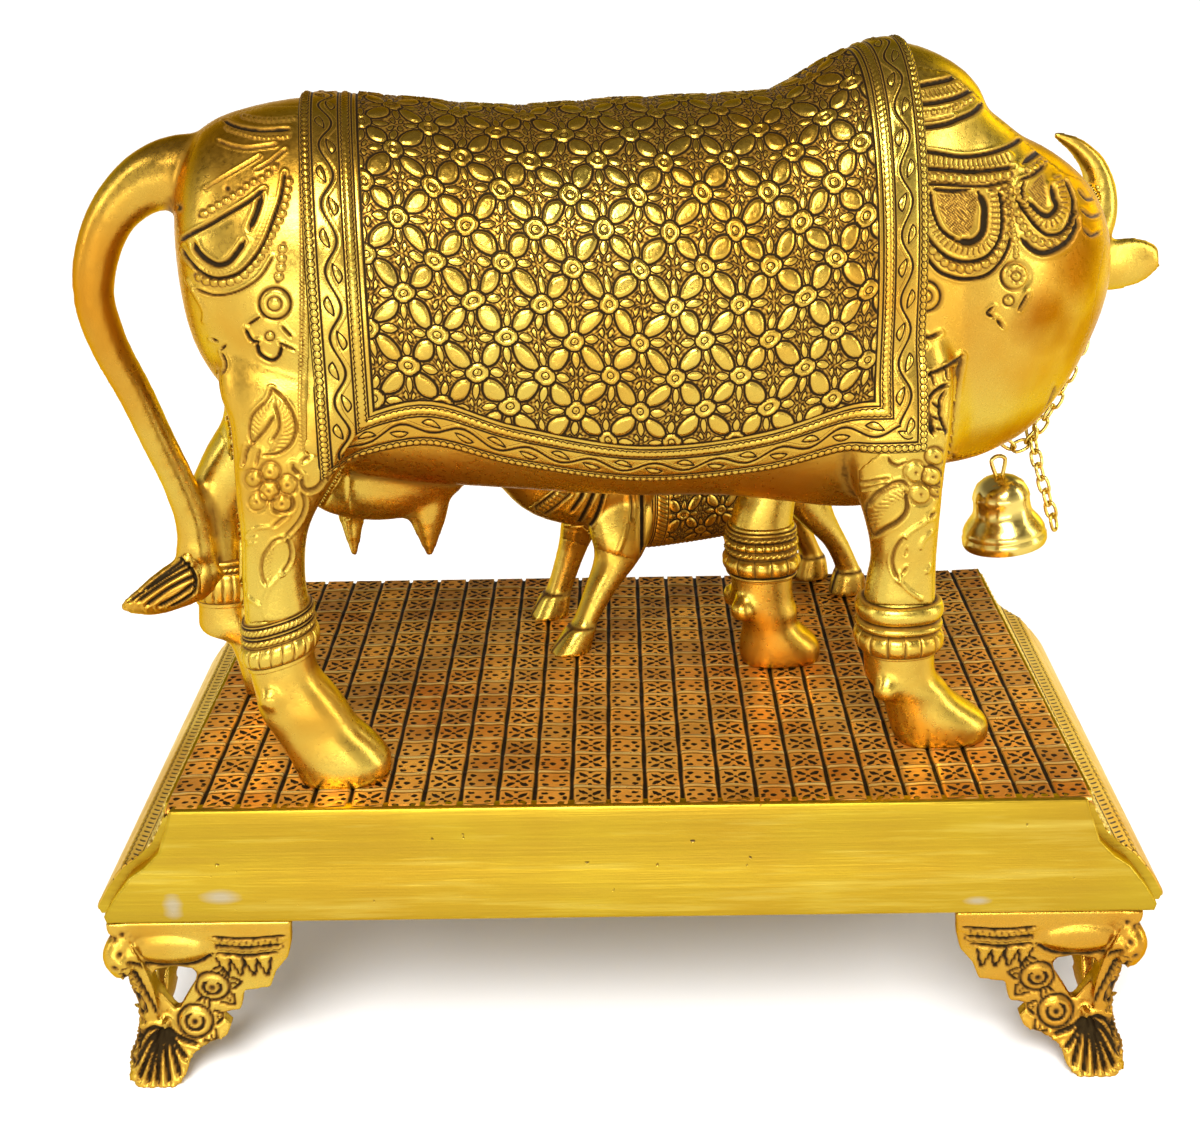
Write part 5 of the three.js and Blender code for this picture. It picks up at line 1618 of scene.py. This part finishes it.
def finish_calf(body):
    points = points_of(body.data)
    black = np.clip(hollows(body.data) * 22 - 0.25, 0, 0.9)
    for tip in on_calf(CALF_TOES):
        away = (points - tip) / MM
        cleft = np.exp(-(away[:, 1] / 0.5) ** 2) * (np.linalg.norm(away, axis=1) < 4.2)
        black = np.maximum(black, 0.95 * cleft)
    hoof_line = on_calf([0, 0, 6.2])[2]
    black = np.maximum(black, 0.8 * np.exp(-((points[:, 2] - hoof_line) / MM / 0.4) ** 2))
    for eye in on_calf(CALF_EYES):
        away = np.linalg.norm(points - eye, axis=1) / MM
        black = np.maximum(black, np.exp(-((away - 1.5) / 0.4) ** 2) + (away < 0.7))
    write_field(body.data, "blackening", np.clip(black, 0, 1))
    finish_piece(body, "calf", CAST_BRASS)
    material = cast_brass("calf cloth brass", drawn_black_and_highlight("cloth_place", calf_cloth_pattern), rough=0.3)
    for name, sign in (("calf_cloth_right", -1), ("calf_cloth_left", 1)):
        piece = carved_cloth(name, on_calf, CALF_TRUNK, CALF_CLOTH, CALF_HEM, CALF_CLOTH_COLUMNS,
                             CALF_CLOTH_ROWS, sign, calf_cloth_pattern)
        finish_piece(piece, "calf", material)


# The stand: tiles on top, banded ends, and a plain front plate
PLATE_PROFILE = [
    (91.6, 66), (92.8, 62), (94.8, 56.6), (98, 53.2), (101.4, 50.8), (104.8, 46.4), (107.5, 42),
    (107.1, 40.5),
]
BODY_PROFILE = [
    (93.2, 66), (94.4, 61.6), (97.2, 56.4), (100.4, 53.4), (103.6, 51), (107, 46.6), (109.7, 42),
    (109.1, 40.5),
]
PLATE_OVER = 0.15
PLATE_PROUD = 0.25
PLATE_DEPTH = 3.2
PLATE_SOFTNESS = 0.7
LEFT_FLARE = 3
RIGHT_FLARE = 5
CORNER_REACH = 5
STAND_HEIGHT = 25.8
TILE_RISE = 7.53
TILES_HALF = 93.0
TILES_FRONT = -63.5
TILES_BACK = 63.6
TILES_ROWS = 212
TILES_PROUD = 0.3
TILES_DROP = 0.8
TILES_SUNK = 0.5
TILE_GOLD = (0.98, 0.46, 0.07)
TILE_BROWN = (0.52, 0.155, 0.012)
END_GOLD = (0.66, 0.44, 0.08)
END_SHINE = (1, 0.85, 0.45, 1)
END_FRONT = -59.9
END_BACK = 63.8
END_EDGE = 0.3
END_ROWS = 56
END_COLUMNS = 226
END_PROUD = 0.25
END_DROP = 0.6
END_SUNK = 0.9


def flared(points):
    """The stand's ends spread towards the back."""
    points = np.array(points, float)
    back = (points[..., 1] + STAND_HALF_DEPTH) / (2 * STAND_HALF_DEPTH)
    down = (STAND_TOP - points[..., 2]) / STAND_HEIGHT
    end = points[..., 0] / STAND_HALF_LENGTH
    points[..., 0] += end * np.where(end < 0, LEFT_FLARE, RIGHT_FLARE) * back * (1 + down) / 2
    points[..., 1] += CORNER_REACH * np.maximum(end, 0) ** 5 * back
    return points


def tile_pattern(x, y, _):
    column = nearest_whole(x * (1 / TILE))
    a = x - column * TILE + 0.07 * wave(y * 0.4 + column * 2.1)
    y = y + 0.5 * wave(column * 1.9) + 0.18 * wave(x * 0.8)
    row = nearest_whole(y * (1 / TILE_RISE))
    b = y - row * TILE_RISE
    odd = 2 * size_of(column * 0.5 - nearest_whole(column * 0.5))
    wide, tall = size_of(a), size_of(b)
    gap = line(wide - TILE / 2, 1.35)
    stray = wave(column * 5.3 + row * 3.7)
    border_line = line(tall - TILE_RISE / 2, 1.0) * (0.7 + 0.3 * stray)
    dashes = least(hypot((wide - 1.75) * 0.8, tall - 1.85), hypot((a - 0.4 * stray) * 0.8, b)) - 0.58
    dashes = least(dashes, hypot((wide - 2.4) * 0.8, tall - 0.2 + 0.2 * stray) - 0.42)
    arms = least(almond((wide + tall) * 0.707 - 1.95, (wide - tall) * 0.707, 1.35, 0.62), hypot(a, b) - 0.5)
    spots = least(hypot(a, tall - 2.6) - 0.45, hypot((wide - 2.5) * 1.2, b) - 0.5)
    marks = chosen(odd, least(arms, spots), dashes)
    dents = limited(marks * -6 + 0.4)
    height = border_line * 0.3 - dents * 0.26 - gap * 0.62
    black = most(gap, dents * 0.95)
    lip = line(tall - TILE_RISE / 2 + 0.75, 0.5)
    browned = limited(wave(column * 7.9 + row * 5.1) + 0.1) * 0.3
    # The third value is painted highlight on the raised row lines
    return height, most(browned, most(black, lip * 0.7)), limited(border_line * 1.3)


def end_pattern(along, down, _):
    """The stand's ends: slanted rope strokes below the top edge, then a hatched band and plain ones."""
    stroke = wave((along + down * 1.5) * (2 * pi / 3.1))
    in_rope = limited(down * 2.5) * limited((12.2 - down) * 2.5)
    in_hatch = limited((down - 13.6) * 2) * limited((17 - down) * 2)
    hatch = wave((along - down * 1.3) * (2 * pi / 1.9)) * in_hatch
    bead = pearls(down, along, 18.6, 2.0, 0.8)
    height = in_rope * stroke * 0.42 + dome(bead, 0.6, 0.35) + hatch * 0.2
    height = height - 0.2 * line(down - 12.9, 0.8) - 0.2 * line(down - 22.6, 0.8)
    black = most(in_rope * limited(-2.6 * stroke - 1.2), line(bead - 0.1, 0.4) * 0.8)
    black = most(black, limited(hatch * -2 - 0.6) * 0.9)
    black = most(black, line(down - 12.9, 0.8) * 0.9)
    # The third value is painted highlight on the crests of the rope strokes
    return height, most(black, line(down - 22.6, 0.6) * 0.8), in_rope * limited(stroke * 1.6 - 0.4)


def stand_tiles():
    """The top, with its points gathered at the gaps between the columns of tiles."""
    edges = (np.arange(TILE_COLUMNS + 1) - TILE_COLUMNS / 2) * TILE
    across = [-TILES_HALF, edges[0] + 0.9]
    for left, right in zip(edges[:-1], edges[1:]):
        across += [left + 0.28, left + 0.62, *np.linspace(left + 1.15, right - 1.15, 8)]
        across += [right - 0.62, right - 0.28]
    across = [x for x in across if abs(x) <= TILES_HALF] + [TILES_HALF]
    x, y = np.meshgrid(across, np.linspace(TILES_FRONT, TILES_BACK, TILES_ROWS), indexing="ij")
    edge = np.minimum(TILES_HALF - np.abs(x), np.minimum(y - TILES_FRONT, TILES_BACK - y))
    points = flared(np.stack([x, y, np.full(x.shape, float(STAND_TOP))], -1))
    points[..., 2] += TILES_PROUD + tile_pattern(x, y, 0)[0] - TILES_DROP * rim_drop(edge, RIM_WIDTH)
    outward = np.broadcast_to(AXIS_Z, points.shape)
    drawn = np.stack([x, y, np.zeros(x.shape)], -1)
    piece = drawn_sheet("stand_tiles", on_stand(points), outward * MM, TILES_SUNK, drawn, "stand_place")
    black_and_highlight_of = drawn_black_and_highlight("stand_place", tile_pattern)
    material = cast_brass("tile brass", black_and_highlight_of, TILE_GOLD, TILE_BROWN, 0.34, 2.0, 0.68)
    finish_piece(piece, None, material)


def stand_ends():
    black_and_highlight_of = drawn_black_and_highlight("stand_place", end_pattern)
    material = cast_brass("end band brass", black_and_highlight_of, END_GOLD, WARM_GOLD, 0.34)
    material.node_tree.nodes["Principled BSDF"].inputs["Specular Tint"].default_value = END_SHINE
    profile = smooth_rows(BODY_PROFILE, 6)
    run = run_along(profile)
    down = np.linspace(END_EDGE, run[-1] - END_EDGE, END_ROWS)
    d, y = np.meshgrid(down, np.linspace(END_FRONT, END_BACK, END_COLUMNS), indexing="ij")
    edge = np.minimum(np.minimum(d - down[0], down[-1] - d), np.minimum(y - END_FRONT, END_BACK - y))
    height = END_PROUD + end_pattern(y, d, 0)[0] - END_DROP * rim_drop(edge, END_DROP)
    drawn = np.stack([y, d, np.zeros(d.shape)], -1)
    for name, sign in (("stand_end_left", -1), ("stand_end_right", 1)):
        half, z = (np.interp(d, run, profile[:, k]) for k in (0, 1))
        points = flared(np.stack([sign * half, y, z], -1))
        outward = grid_normals(points)
        outward *= np.sign(outward[..., :1] * sign)
        carved = on_stand(points + outward * height[..., None])
        piece = drawn_sheet(name, carved, outward * MM, END_SUNK, drawn, "stand_place")
        finish_piece(piece, None, material)


def scratched_brass(name, worn_of=None):
    """Brass rubbed lengthwise: long fine scratches, and grey where the gold has worn off."""
    finish = Finish(name)
    clouds = finish.noise(22, 3, 0.6)
    rubs = finish.noise(300, 4, 0.65, (0.06, 1, 1))
    scratches = finish.noise(1500, 3, 0.6, (0.02, 1, 1))
    pits = finish.noise(520, 1, 0.4)
    colour = finish.mixed(limited(clouds * 2.6 - 0.9), (0.47, 0.325, 0.022), (0.42, 0.25, 0.018))
    colour = finish.mixed(limited(rubs * 3.6 - 1.5) * 0.5, colour, (0.33, 0.20, 0.02))
    colour = finish.mixed(limited(2.1 - rubs * 4.6) * 0.5, colour, (0.68, 0.53, 0.10))
    pitted = limited(pits * 14 - 11.1)
    colour = finish.mixed(pitted, colour, (0.1, 0.06, 0.03))
    if worn_of is not None:
        colour = finish.mixed(worn_of(finish, rubs), colour, (0.42, 0.38, 0.30))
    roughness = limited((rubs - 0.5) * 0.35 + (scratches - 0.5) * 0.25 + 0.36)
    normal = finish.bump(rubs * 0.7 + scratches * 0.5 + clouds * 0.8, 0.00012)
    normal = finish.bump(pitted * -1, 0.0003, normal)
    return finish.shade(colour, roughness, 1.0, normal)


def worn_places(finish, rubs):
    return patches(finish, WORN_PATCHES, 1.4, (rubs - 0.5) * 1.6) * 0.7


def front_plate():
    """A bar with sloped ends and softened edges, proud of the stand's front by a hair."""
    low, high = PLATE_PROFILE[-1][1] - 0.1, STAND_TOP + PLATE_OVER
    front, back = -STAND_HALF_DEPTH - PLATE_PROUD, -STAND_HALF_DEPTH + PLATE_DEPTH
    piece = new_primitive(bpy.ops.mesh.primitive_cube_add, "front_plate", size=1,
                          location=on_stand([0, (front + back) / 2, (low + high) / 2]),
                          scale=(2 * MM, (back - front) * MM, (high - low) * MM))
    bpy.ops.object.transform_apply(location=True, rotation=True, scale=True)
    bpy.ops.object.mode_set(mode="EDIT")
    for _, z in PLATE_PROFILE[1:-1]:
        bpy.ops.mesh.select_all(action="SELECT")
        bpy.ops.mesh.bisect(plane_co=on_stand([0, 0, z]), plane_no=(0, 0, 1))
    bpy.ops.object.mode_set(mode="OBJECT")
    points = points_of(piece.data)
    profile = np.array(PLATE_PROFILE[::-1])
    half = np.interp(points[:, 2] / MM, profile[:, 1], profile[:, 0])
    side = np.sign(points[:, 0] / MM - STAND_MIDDLE[0])
    points[:, 0] = (STAND_MIDDLE[0] + side * (half + PLATE_OVER)) * MM
    move_points(piece.data, points)
    apply_modifier(piece, "BEVEL", width=PLATE_SOFTNESS * MM, segments=3, limit_method="ANGLE",
                   angle_limit=radians(40))
    finish_piece(piece, None, scratched_brass("front plate brass", worn_places), 35)


# The feet: two wings round a corner, drawn in at the waist, with scrolls, beads and a ribbed toe
FOOT_PLATE = 2.9
FOOT_WAIST = 4.8
RIGHT_INSET = 2.4
FRONT_FOOT_GRAIN = 0.5
BACK_FOOT_GRAIN = 0.75
WING_OUTLINE = [
    (0, 40.2), (0, 36), (0.4, 32), (1.6, 28), (2, 25), (2.9, 19), (3.2, 13.5), (2.4, 9.5), (1, 6),
    (1.2, 1.8), (2.2, 0), (10.6, 0), (12.6, 2.2), (13.6, 5.6), (16.6, 8.2), (21.4, 9.8), (22.6, 12.4),
    (20.4, 15.2), (24.8, 15.8), (25.8, 20.4), (31.6, 21.4), (33.2, 25.6), (36.2, 29.6), (37.4, 34),
    (38.2, 40.2),
]
WING_HOLE = [
    (7.2, 22.4), (7, 25.2), (8.6, 26.9), (12, 27.4), (15.6, 27), (16.4, 25), (15.6, 22.6), (13.2, 18.8),
    (11.4, 15.6), (9.4, 18.4),
]
VOLUTES = [(19.4, 22, 3.3), (15, 13.6, 3.4)]
TOE_TOP = (8.4, 13.4)
TOE_RIBS = [
    [(4.6, 12), (2.4, 7.6)], [(4.8, 9.6), (1.8, 4.4)], [(5.2, 7.4), (2.4, 1.4)], [(6, 6), (4.4, 0.6)],
    [(7, 5.4), (6.6, 0.4)], [(8.6, 5.6), (9, 0.5)], [(10.2, 6.4), (11.4, 2)], [(11, 8), (13, 5.4)],
    [(11.4, 10), (15.6, 8.4)],
]


def draw_in(height):
    part = np.clip(1 - np.asarray(height) / FOOT_HEIGHT, 0, 1)
    return FOOT_WAIST * np.sin(pi * part ** 1.1)


def wing_drawing(carving):
    for bend, end in TOE_RIBS:
        carving.lined([TOE_TOP, bend, end], 0.95, 0.6, 1.0, 0.4)
    for start, bend, end in (((2.6, 29), (4.2, 23), (5.4, 16.4)), ((4.2, 28.6), (5.9, 22), (7.6, 16)),
                             ((3.4, 21), (3.9, 16.4), (4.6, 13.4))):
        carving.lined([start, bend, end], 0.75, 0.45, 0.95)
    carving.ribs([(2.6, 31), (3.4, 26), (4.4, 20)], 2.6, 1.3, 0.3, 0.5, 0.8)
    cushion = [(12 + 8.4 * cos(radians(t)), 32.8 + 4.1 * sin(radians(t))) for t in range(0, 360, 30)]
    carving.field(cushion, 1.7, 3.4)
    carving.lined([(3.8, 31.4), (7, 28.6), (12, 27.9), (17, 28.6), (20.8, 31.2)], 0.8, 0.4, 0.95)
    for x, z in ((1.4, 36.6), (2.6, 33.6), (1.2, 30.6), (3.2, 37.6)):
        carving.dot(x, z, 0.6, 0.45, 0.9)
    for drop in (0, 2.5, 4.9):
        stroke = [(21.6, 36.2 - drop), (28, 35.5 - drop), (36.4 - drop * 0.4, 36.3 - drop)]
        carving.lined(stroke, 0.7, 0.4, 0.95)
    carving.beads([(22, 33.2), (28, 32.5), (35.4, 33.2)], 1.5, 0.7, 0.4, 0.75)
    carving.ribs([(22.4, 35), (28, 34.3), (35.6, 35)], 1.8, 1.3, 0.25, 0.4, 0.7)
    for w in (22.6, 25.4, 28.2, 31):
        carving.field([(w - 1.2, 30), (w + 0.4, 25.2), (w + 1.4, 29.8), (w, 30.6)], 0.5, 0.6)
        carving.lined([(w - 1.5, 30.2), (w - 0.4, 26.6), (w + 0.5, 24.8), (w + 1.7, 29.8)], 0.6, 0.4, 0.95)
    for x, z, radius in VOLUTES:
        def at(turn, reach):
            return x + reach * cos(turn), z + reach * sin(turn)

        carving.ring(x, z, radius, 0.9, 0.8, 0.45, 1.0)
        carving.groove([at(t + 2, radius * 0.55) for t in np.linspace(0, 2 * pi * 0.8, 14)], 0.75, 0.5, 1.0)
        carving.dot(x, z, 0.75, 0.45, 0.95)
        for start, end in ((-75, -20), (-15, 35), (40, 85)):
            start, tip, end = radians(start), radians((start + end) / 2), radians(end)
            leaf = [at(start, radius + 0.9), at(tip, radius + 2.9), at(end, radius + 0.9)]
            carving.lined(leaf, 0.65, 0.4, 0.9)
            carving.lined([at(tip, radius + 0.8), at(tip, radius + 2.2)], 0.5, 0.3, 0.8)


def foot_form():
    """Both wings as closed plates in the corner's own frame, in millimetres."""
    work = bmesh.new()
    rims = []
    for ring in (WING_OUTLINE, WING_HOLE):
        verts = [work.verts.new((x, 0, z)) for x, z in ring]
        rims += [work.edges.new((verts[i], verts[(i + 1) % len(verts)])) for i in range(len(verts))]
    bmesh.ops.triangle_fill(work, edges=rims, use_beauty=True)
    bmesh.ops.subdivide_edges(work, edges=work.edges[:], cuts=3, use_grid_fill=True)
    for raised in bmesh.ops.extrude_face_region(work, geom=work.faces[:])["geom"]:
        if isinstance(raised, bmesh.types.BMVert):
            raised.co.y = FOOT_PLATE
    bmesh.ops.recalc_face_normals(work, faces=work.faces)
    work.verts.index_update()
    flat = np.array([v.co[:] for v in work.verts])
    faces = [tuple(v.index for v in f.verts) for f in work.faces]
    work.free()
    front = np.stack([flat[:, 0], draw_in(flat[:, 2]) + FOOT_PLATE - flat[:, 1], flat[:, 2]], -1)
    side = front[:, [1, 0, 2]]
    boss = limb([[2.2, 2.2, 27.6, 2.4], [1.4, 1.4, 31.8, 3.2], [1.8, 1.8, 35.6, 2.2]], 20, AXIS_X)
    toe = limb([[5.6, 5.6, 0.3, 4.4], [5, 5, 3, 4.6], [5.6, 5.6, 7, 3.8], [6.6, 6.6, 11, 2.8]], 20, AXIS_X)
    return joined([(front, faces), (side, faces), boss, toe])


def foot(name, sign_x, sign_y, grain):
    points, faces = foot_form()
    points[:, 2] = np.maximum(points[:, 2], 0)
    piece = make_piece(name + "_casting", points * MM, faces)
    face_outwards(piece)
    apply_modifier(piece, "REMESH", mode="VOXEL", voxel_size=grain * MM)
    apply_modifier(piece, "SMOOTH", factor=0.5, iterations=3)
    points = points_of(piece.data) / MM
    normals = normals_of(piece.data)
    height = np.zeros(len(points))
    black = np.zeros(len(points))
    for along, out in ((0, 1), (1, 0)):
        carving = Carving(points[:, along], points[:, 2])
        wing_drawing(carving)
        facing = np.clip(-normals[:, out] * 2.2 - 0.5, 0, 1)
        near = np.clip(2.6 - (points[:, out] - draw_in(points[:, 2])), 0, 1)
        height += carving.height * facing * near
        black = np.maximum(black, carving.black * facing * near)
    black = np.maximum(black, np.clip(hollows(piece.data) * 20 - 0.4, 0, 0.8))
    points = points + normals * height[:, None]
    points[:, 2] = np.clip(points[:, 2], 0, FOOT_HEIGHT)
    flare, inset = (LEFT_FLARE, 0) if sign_x < 0 else (RIGHT_FLARE, RIGHT_INSET)
    corner = STAND_HALF_LENGTH + (flare if sign_y > 0 else 0) - inset
    points = points * (-sign_x, -sign_y, 1) + (sign_x * corner, sign_y * STAND_HALF_DEPTH, 0)
    move_points(piece.data, on_stand(points))
    write_field(piece.data, "blackening", np.clip(black, 0, 1))
    if sign_x * sign_y < 0:
        piece.data.flip_normals()
    finish_piece(piece, name, CAST_BRASS)


def feet():
    for end, sign_y, grain in (("front", -1, FRONT_FOOT_GRAIN), ("back", 1, BACK_FOOT_GRAIN)):
        for side, sign_x in (("left", -1), ("right", 1)):
            foot(f"foot_{end}_{side}", sign_x, sign_y, grain)


# The chain: oval links of round wire, each turned a quarter from the last
LINK_LENGTH = 5.0
LINK_WIDTH = 3.5
LINK_WIRE = 0.85
LINK_PITCH = 3.42
CHAIN_MIDDLE = (101, 36.6)
CHAIN_LOOP = [
    (0, 108.6), (8.5, 106), (13.6, 99), (15.2, 89), (15, 78), (12.6, 68), (7.4, 55.6), (2, 47), (-2.4, 45),
    (-7, 50), (-12, 62), (-14.6, 75), (-15.2, 89), (-13.6, 99), (-8.5, 106),
]
CHAIN_TAIL = [(103, 36.2, 48.6), (104, 34, 42), (105.6, 32.4, 36), (107.2, 31.8, 31), (108.4, 31.6, 27)]


def spaced(curve, pitch, closed):
    """Places at an even pitch along a curve, and which way it runs there."""
    run = run_along(curve)
    table = np.column_stack([run, curve])
    count = 2 * round(run[-1] / pitch / 2) if closed else round(run[-1] / pitch) + 1
    at = np.linspace(0, run[-1], count, endpoint=not closed)
    places, ahead, behind = (between(table, at + step)[:, 1:] for step in (0, 0.4, -0.4))
    return places, unit(ahead - behind)


def one_link():
    """A ring of round wire, drawn out into an oval."""
    half = (LINK_WIDTH - LINK_WIRE) / 2 * MM
    link = new_primitive(bpy.ops.mesh.primitive_torus_add, "one_link", major_segments=20,
                         minor_segments=8, major_radius=half, minor_radius=LINK_WIRE / 2 * MM)
    points = points_of(link.data)
    stretch = (LINK_LENGTH - LINK_WIDTH) / 2 * MM
    points[:, 0] += np.clip(points[:, 0] / (half * 0.55), -1, 1) * stretch
    faces = faces_of(link.data)
    bpy.data.objects.remove(link)
    return points / MM, faces


def neck_chain():
    loop = [(CHAIN_MIDDLE[0] + across, CHAIN_MIDDLE[1], height) for across, height in CHAIN_LOOP]
    around = smooth_rows(loop[-2:] + loop + loop[:2], 10)[20:-19]
    link_points, link_faces = one_link()
    parts = []
    for curve, closed in ((around, True), (smooth_rows(CHAIN_TAIL, 10), False)):
        for i, (place, way) in enumerate(zip(*spaced(curve, LINK_PITCH, closed))):
            first = unit(np.cross(AXIS_Y, way))
            lean = radians(45 if i % 2 == 0 else -45)
            across = first * cos(lean) + np.cross(way, first) * sin(lean)
            points = place + link_points @ np.array([way, across, np.cross(way, across)])
            parts.append((points, link_faces))
    points, faces = joined(parts)
    piece = make_piece("chain_links", on_cow(points), faces)
    write_field(piece.data, "blackening", np.zeros(len(points)))
    face_outwards(piece)
    finish_piece(piece, "neck_chain", CHAIN_BRASS)


# The bell: a thin turned cup with a flared lip, on a bent wire
BELL_WALL = 1
BELL_PLACE = (98.6, 37.5, 20.8)
BELL_TILT = radians(8)
BELL_RINGS = [
    (9.0, 0.0), (9.25, 0.5), (9.25, 1.5), (8.9, 2.1), (8.8, 2.7), (8.9, 3.2), (8.55, 3.9), (7.8, 5),
    (6.8, 6.3), (6.1, 7.6), (5.85, 9.4), (5.8, 11.2), (5.95, 11.7), (5.75, 12.3), (5.5, 13), (4.9, 14.2),
    (3.6, 15.2), (2.0, 15.8), (0.7, 16.0),
]
HOOK = [
    (-0.2, 0, 15.4), (-0.55, 0, 16.2), (-1.7, 0, 20.4), (-1.1, 0, 21.6), (0, 0, 21.9), (1.1, 0, 21.6),
    (1.7, 0, 20.4), (0.55, 0, 16.2), (0.2, 0, 15.4),
]
HOOK_WIRE = 0.5


def bell():
    """A circle drawn upwards ring by ring, then given its wall."""
    cup = new_primitive(bpy.ops.mesh.primitive_circle_add, "bell_cup", vertices=72,
                        radius=BELL_RINGS[0][0] * MM)
    bpy.ops.object.mode_set(mode="EDIT")
    bpy.ops.mesh.select_all(action="SELECT")
    for (radius, height), (wider, higher) in zip(BELL_RINGS[:-1], BELL_RINGS[1:]):
        bpy.ops.mesh.extrude_region_move(TRANSFORM_OT_translate={"value": (0, 0, (higher - height) * MM)})
        bpy.ops.transform.resize(value=(wider / radius, wider / radius, 1))
    bpy.ops.mesh.edge_face_add()
    bpy.ops.object.mode_set(mode="OBJECT")
    apply_modifier(cup, "SOLIDIFY", thickness=BELL_WALL * MM, offset=-1)
    face_outwards(cup)
    points = points_of(cup.data) / MM
    # Half black just inside the mouth: painted shade in the bell's hollow
    black = 0.5 * (np.hypot(points[:, 0], points[:, 1]) < 7.6) * (points[:, 2] < 0.9)
    hanger = limb([[*place, HOOK_WIRE] for place in HOOK], 12, AXIS_Y)
    points, faces = joined([(points, faces_of(cup.data)), hanger])
    bpy.data.objects.remove(cup)
    x, y, z = points.T
    c, s = cos(BELL_TILT), sin(BELL_TILT)
    tilted = np.stack([x * c - z * s, y, x * s + z * c], -1)
    piece = make_piece("bell_cup", on_cow(tilted + BELL_PLACE), faces)
    black = np.concatenate([black, np.zeros(len(points) - len(black))])
    write_field(piece.data, "blackening", black)
    face_outwards(piece)
    finish_piece(piece, "bell", CHAIN_BRASS, 38)


# The camera, floor and light. Soft lights: place, the height they look at, width and height, power.
OVERHEAD_POWER = 4.4
OVERHEAD_SPREAD = radians(30)
OVERHEAD_WAY = (0.12, 1.0, -0.95)
SOFT_LIGHTS = [
    ("front band", (-0.1, -1.5, 0.14), 0.12, (1.5, 0.12), 7.5),
    ("left band", (-1.1, -0.3, 0.6), 0.1, (0.15, 0.9), 3),
    ("back right band", (1.0, 0.9, 0.55), 0.1, (0.35, 0.9), 2.5),
    ("right band", (1.1, -0.2, 0.5), 0.1, (0.15, 0.9), 5),
]
SKY_STRENGTH = 0.95
SKY_BELOW = (0.2, 0.18, 0.15, 1)
SKY_TURNS = 0.62


def set_camera():
    data = bpy.data.cameras.new("camera")
    data.sensor_width = SENSOR
    data.lens = FOCAL_PIXELS * SENSOR / PHOTO_WIDTH
    data.clip_start = 0.01
    camera = bpy.data.objects.new("camera", data)
    bpy.context.scene.collection.objects.link(camera)
    axes = Matrix((CAMERA_RIGHT, CAMERA_UP, -CAMERA_FORWARD)).transposed().to_4x4()
    camera.matrix_world = Matrix.Translation(on_stand(CAMERA_PLACE)) @ axes
    bpy.context.scene.camera = camera


def soft_light(name, place, towards, size, power):
    data = bpy.data.lights.new(name, "AREA")
    data.shape = "RECTANGLE"
    data.size, data.size_y = size
    data.energy = power
    light = bpy.data.objects.new(name, data)
    light.location = place
    light.rotation_euler = (Vector(towards) - Vector(place)).to_track_quat("-Z", "Y").to_euler()
    bpy.context.scene.collection.objects.link(light)


def studio():
    floor = new_primitive(bpy.ops.mesh.primitive_plane_add, "floor", size=60)
    finish = Finish("pale floor")
    for name, value in (("Base Color", (0.93, 0.93, 0.93, 1)), ("Roughness", 0.9),
                        ("Specular Tint", (1, 1, 1, 1))):
        finish.shader.inputs[name].default_value = value
    floor.data.materials.append(finish.material)
    data = bpy.data.lights.new("overhead", "SUN")
    data.energy = OVERHEAD_POWER
    data.angle = OVERHEAD_SPREAD
    light = bpy.data.objects.new("overhead", data)
    light.rotation_euler = Vector(OVERHEAD_WAY).to_track_quat("-Z", "Y").to_euler()
    bpy.context.scene.collection.objects.link(light)
    for name, place, height, size, power in SOFT_LIGHTS:
        soft_light(name, place, (0, 0, height), size, power)
    world = bpy.data.worlds.new("studio")
    world.use_nodes = True
    nodes, links = world.node_tree.nodes, world.node_tree.links
    split = nodes.new("ShaderNodeSeparateXYZ")
    links.new(nodes.new("ShaderNodeTexCoord").outputs["Generated"], split.inputs[0])
    ramp = nodes.new("ShaderNodeValToRGB")
    ramp.color_ramp.interpolation = "EASE"
    ramp.color_ramp.elements[0].color = (1, 1, 1, 1)
    ramp.color_ramp.elements[1].position = SKY_TURNS
    ramp.color_ramp.elements[1].color = SKY_BELOW
    links.new(split.outputs[2], ramp.inputs[0])
    links.new(ramp.outputs[0], nodes["Background"].inputs["Color"])
    nodes["Background"].inputs["Strength"].default_value = SKY_STRENGTH
    bpy.context.scene.world = world
    bpy.context.scene.view_settings.view_transform = "Standard"


set_camera()
studio()
cow = cow_body()
for name, region, drawing in (("hind_quarter_carving", HIND_REGION, hind_quarter_drawing),
                              ("fore_quarter_carving", FORE_REGION, fore_quarter_drawing),
                              ("tuft_hair", TUFT_REGION, tuft_drawing)):
    sheet_over(name, cow, region, drawing, "cow")
saddle_cloth()
anklets()
calf_body = calf()
sheet_over("calf_neck_carving", calf_body, CALF_REGION, calf_neck_drawing, "calf")
finish_calf(calf_body)
stand_tiles()
stand_ends()
front_plate()
feet()
neck_chain()
bell()
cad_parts["stand"].data.materials.clear()
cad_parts["stand"].data.materials.append(scratched_brass("stand body brass"))
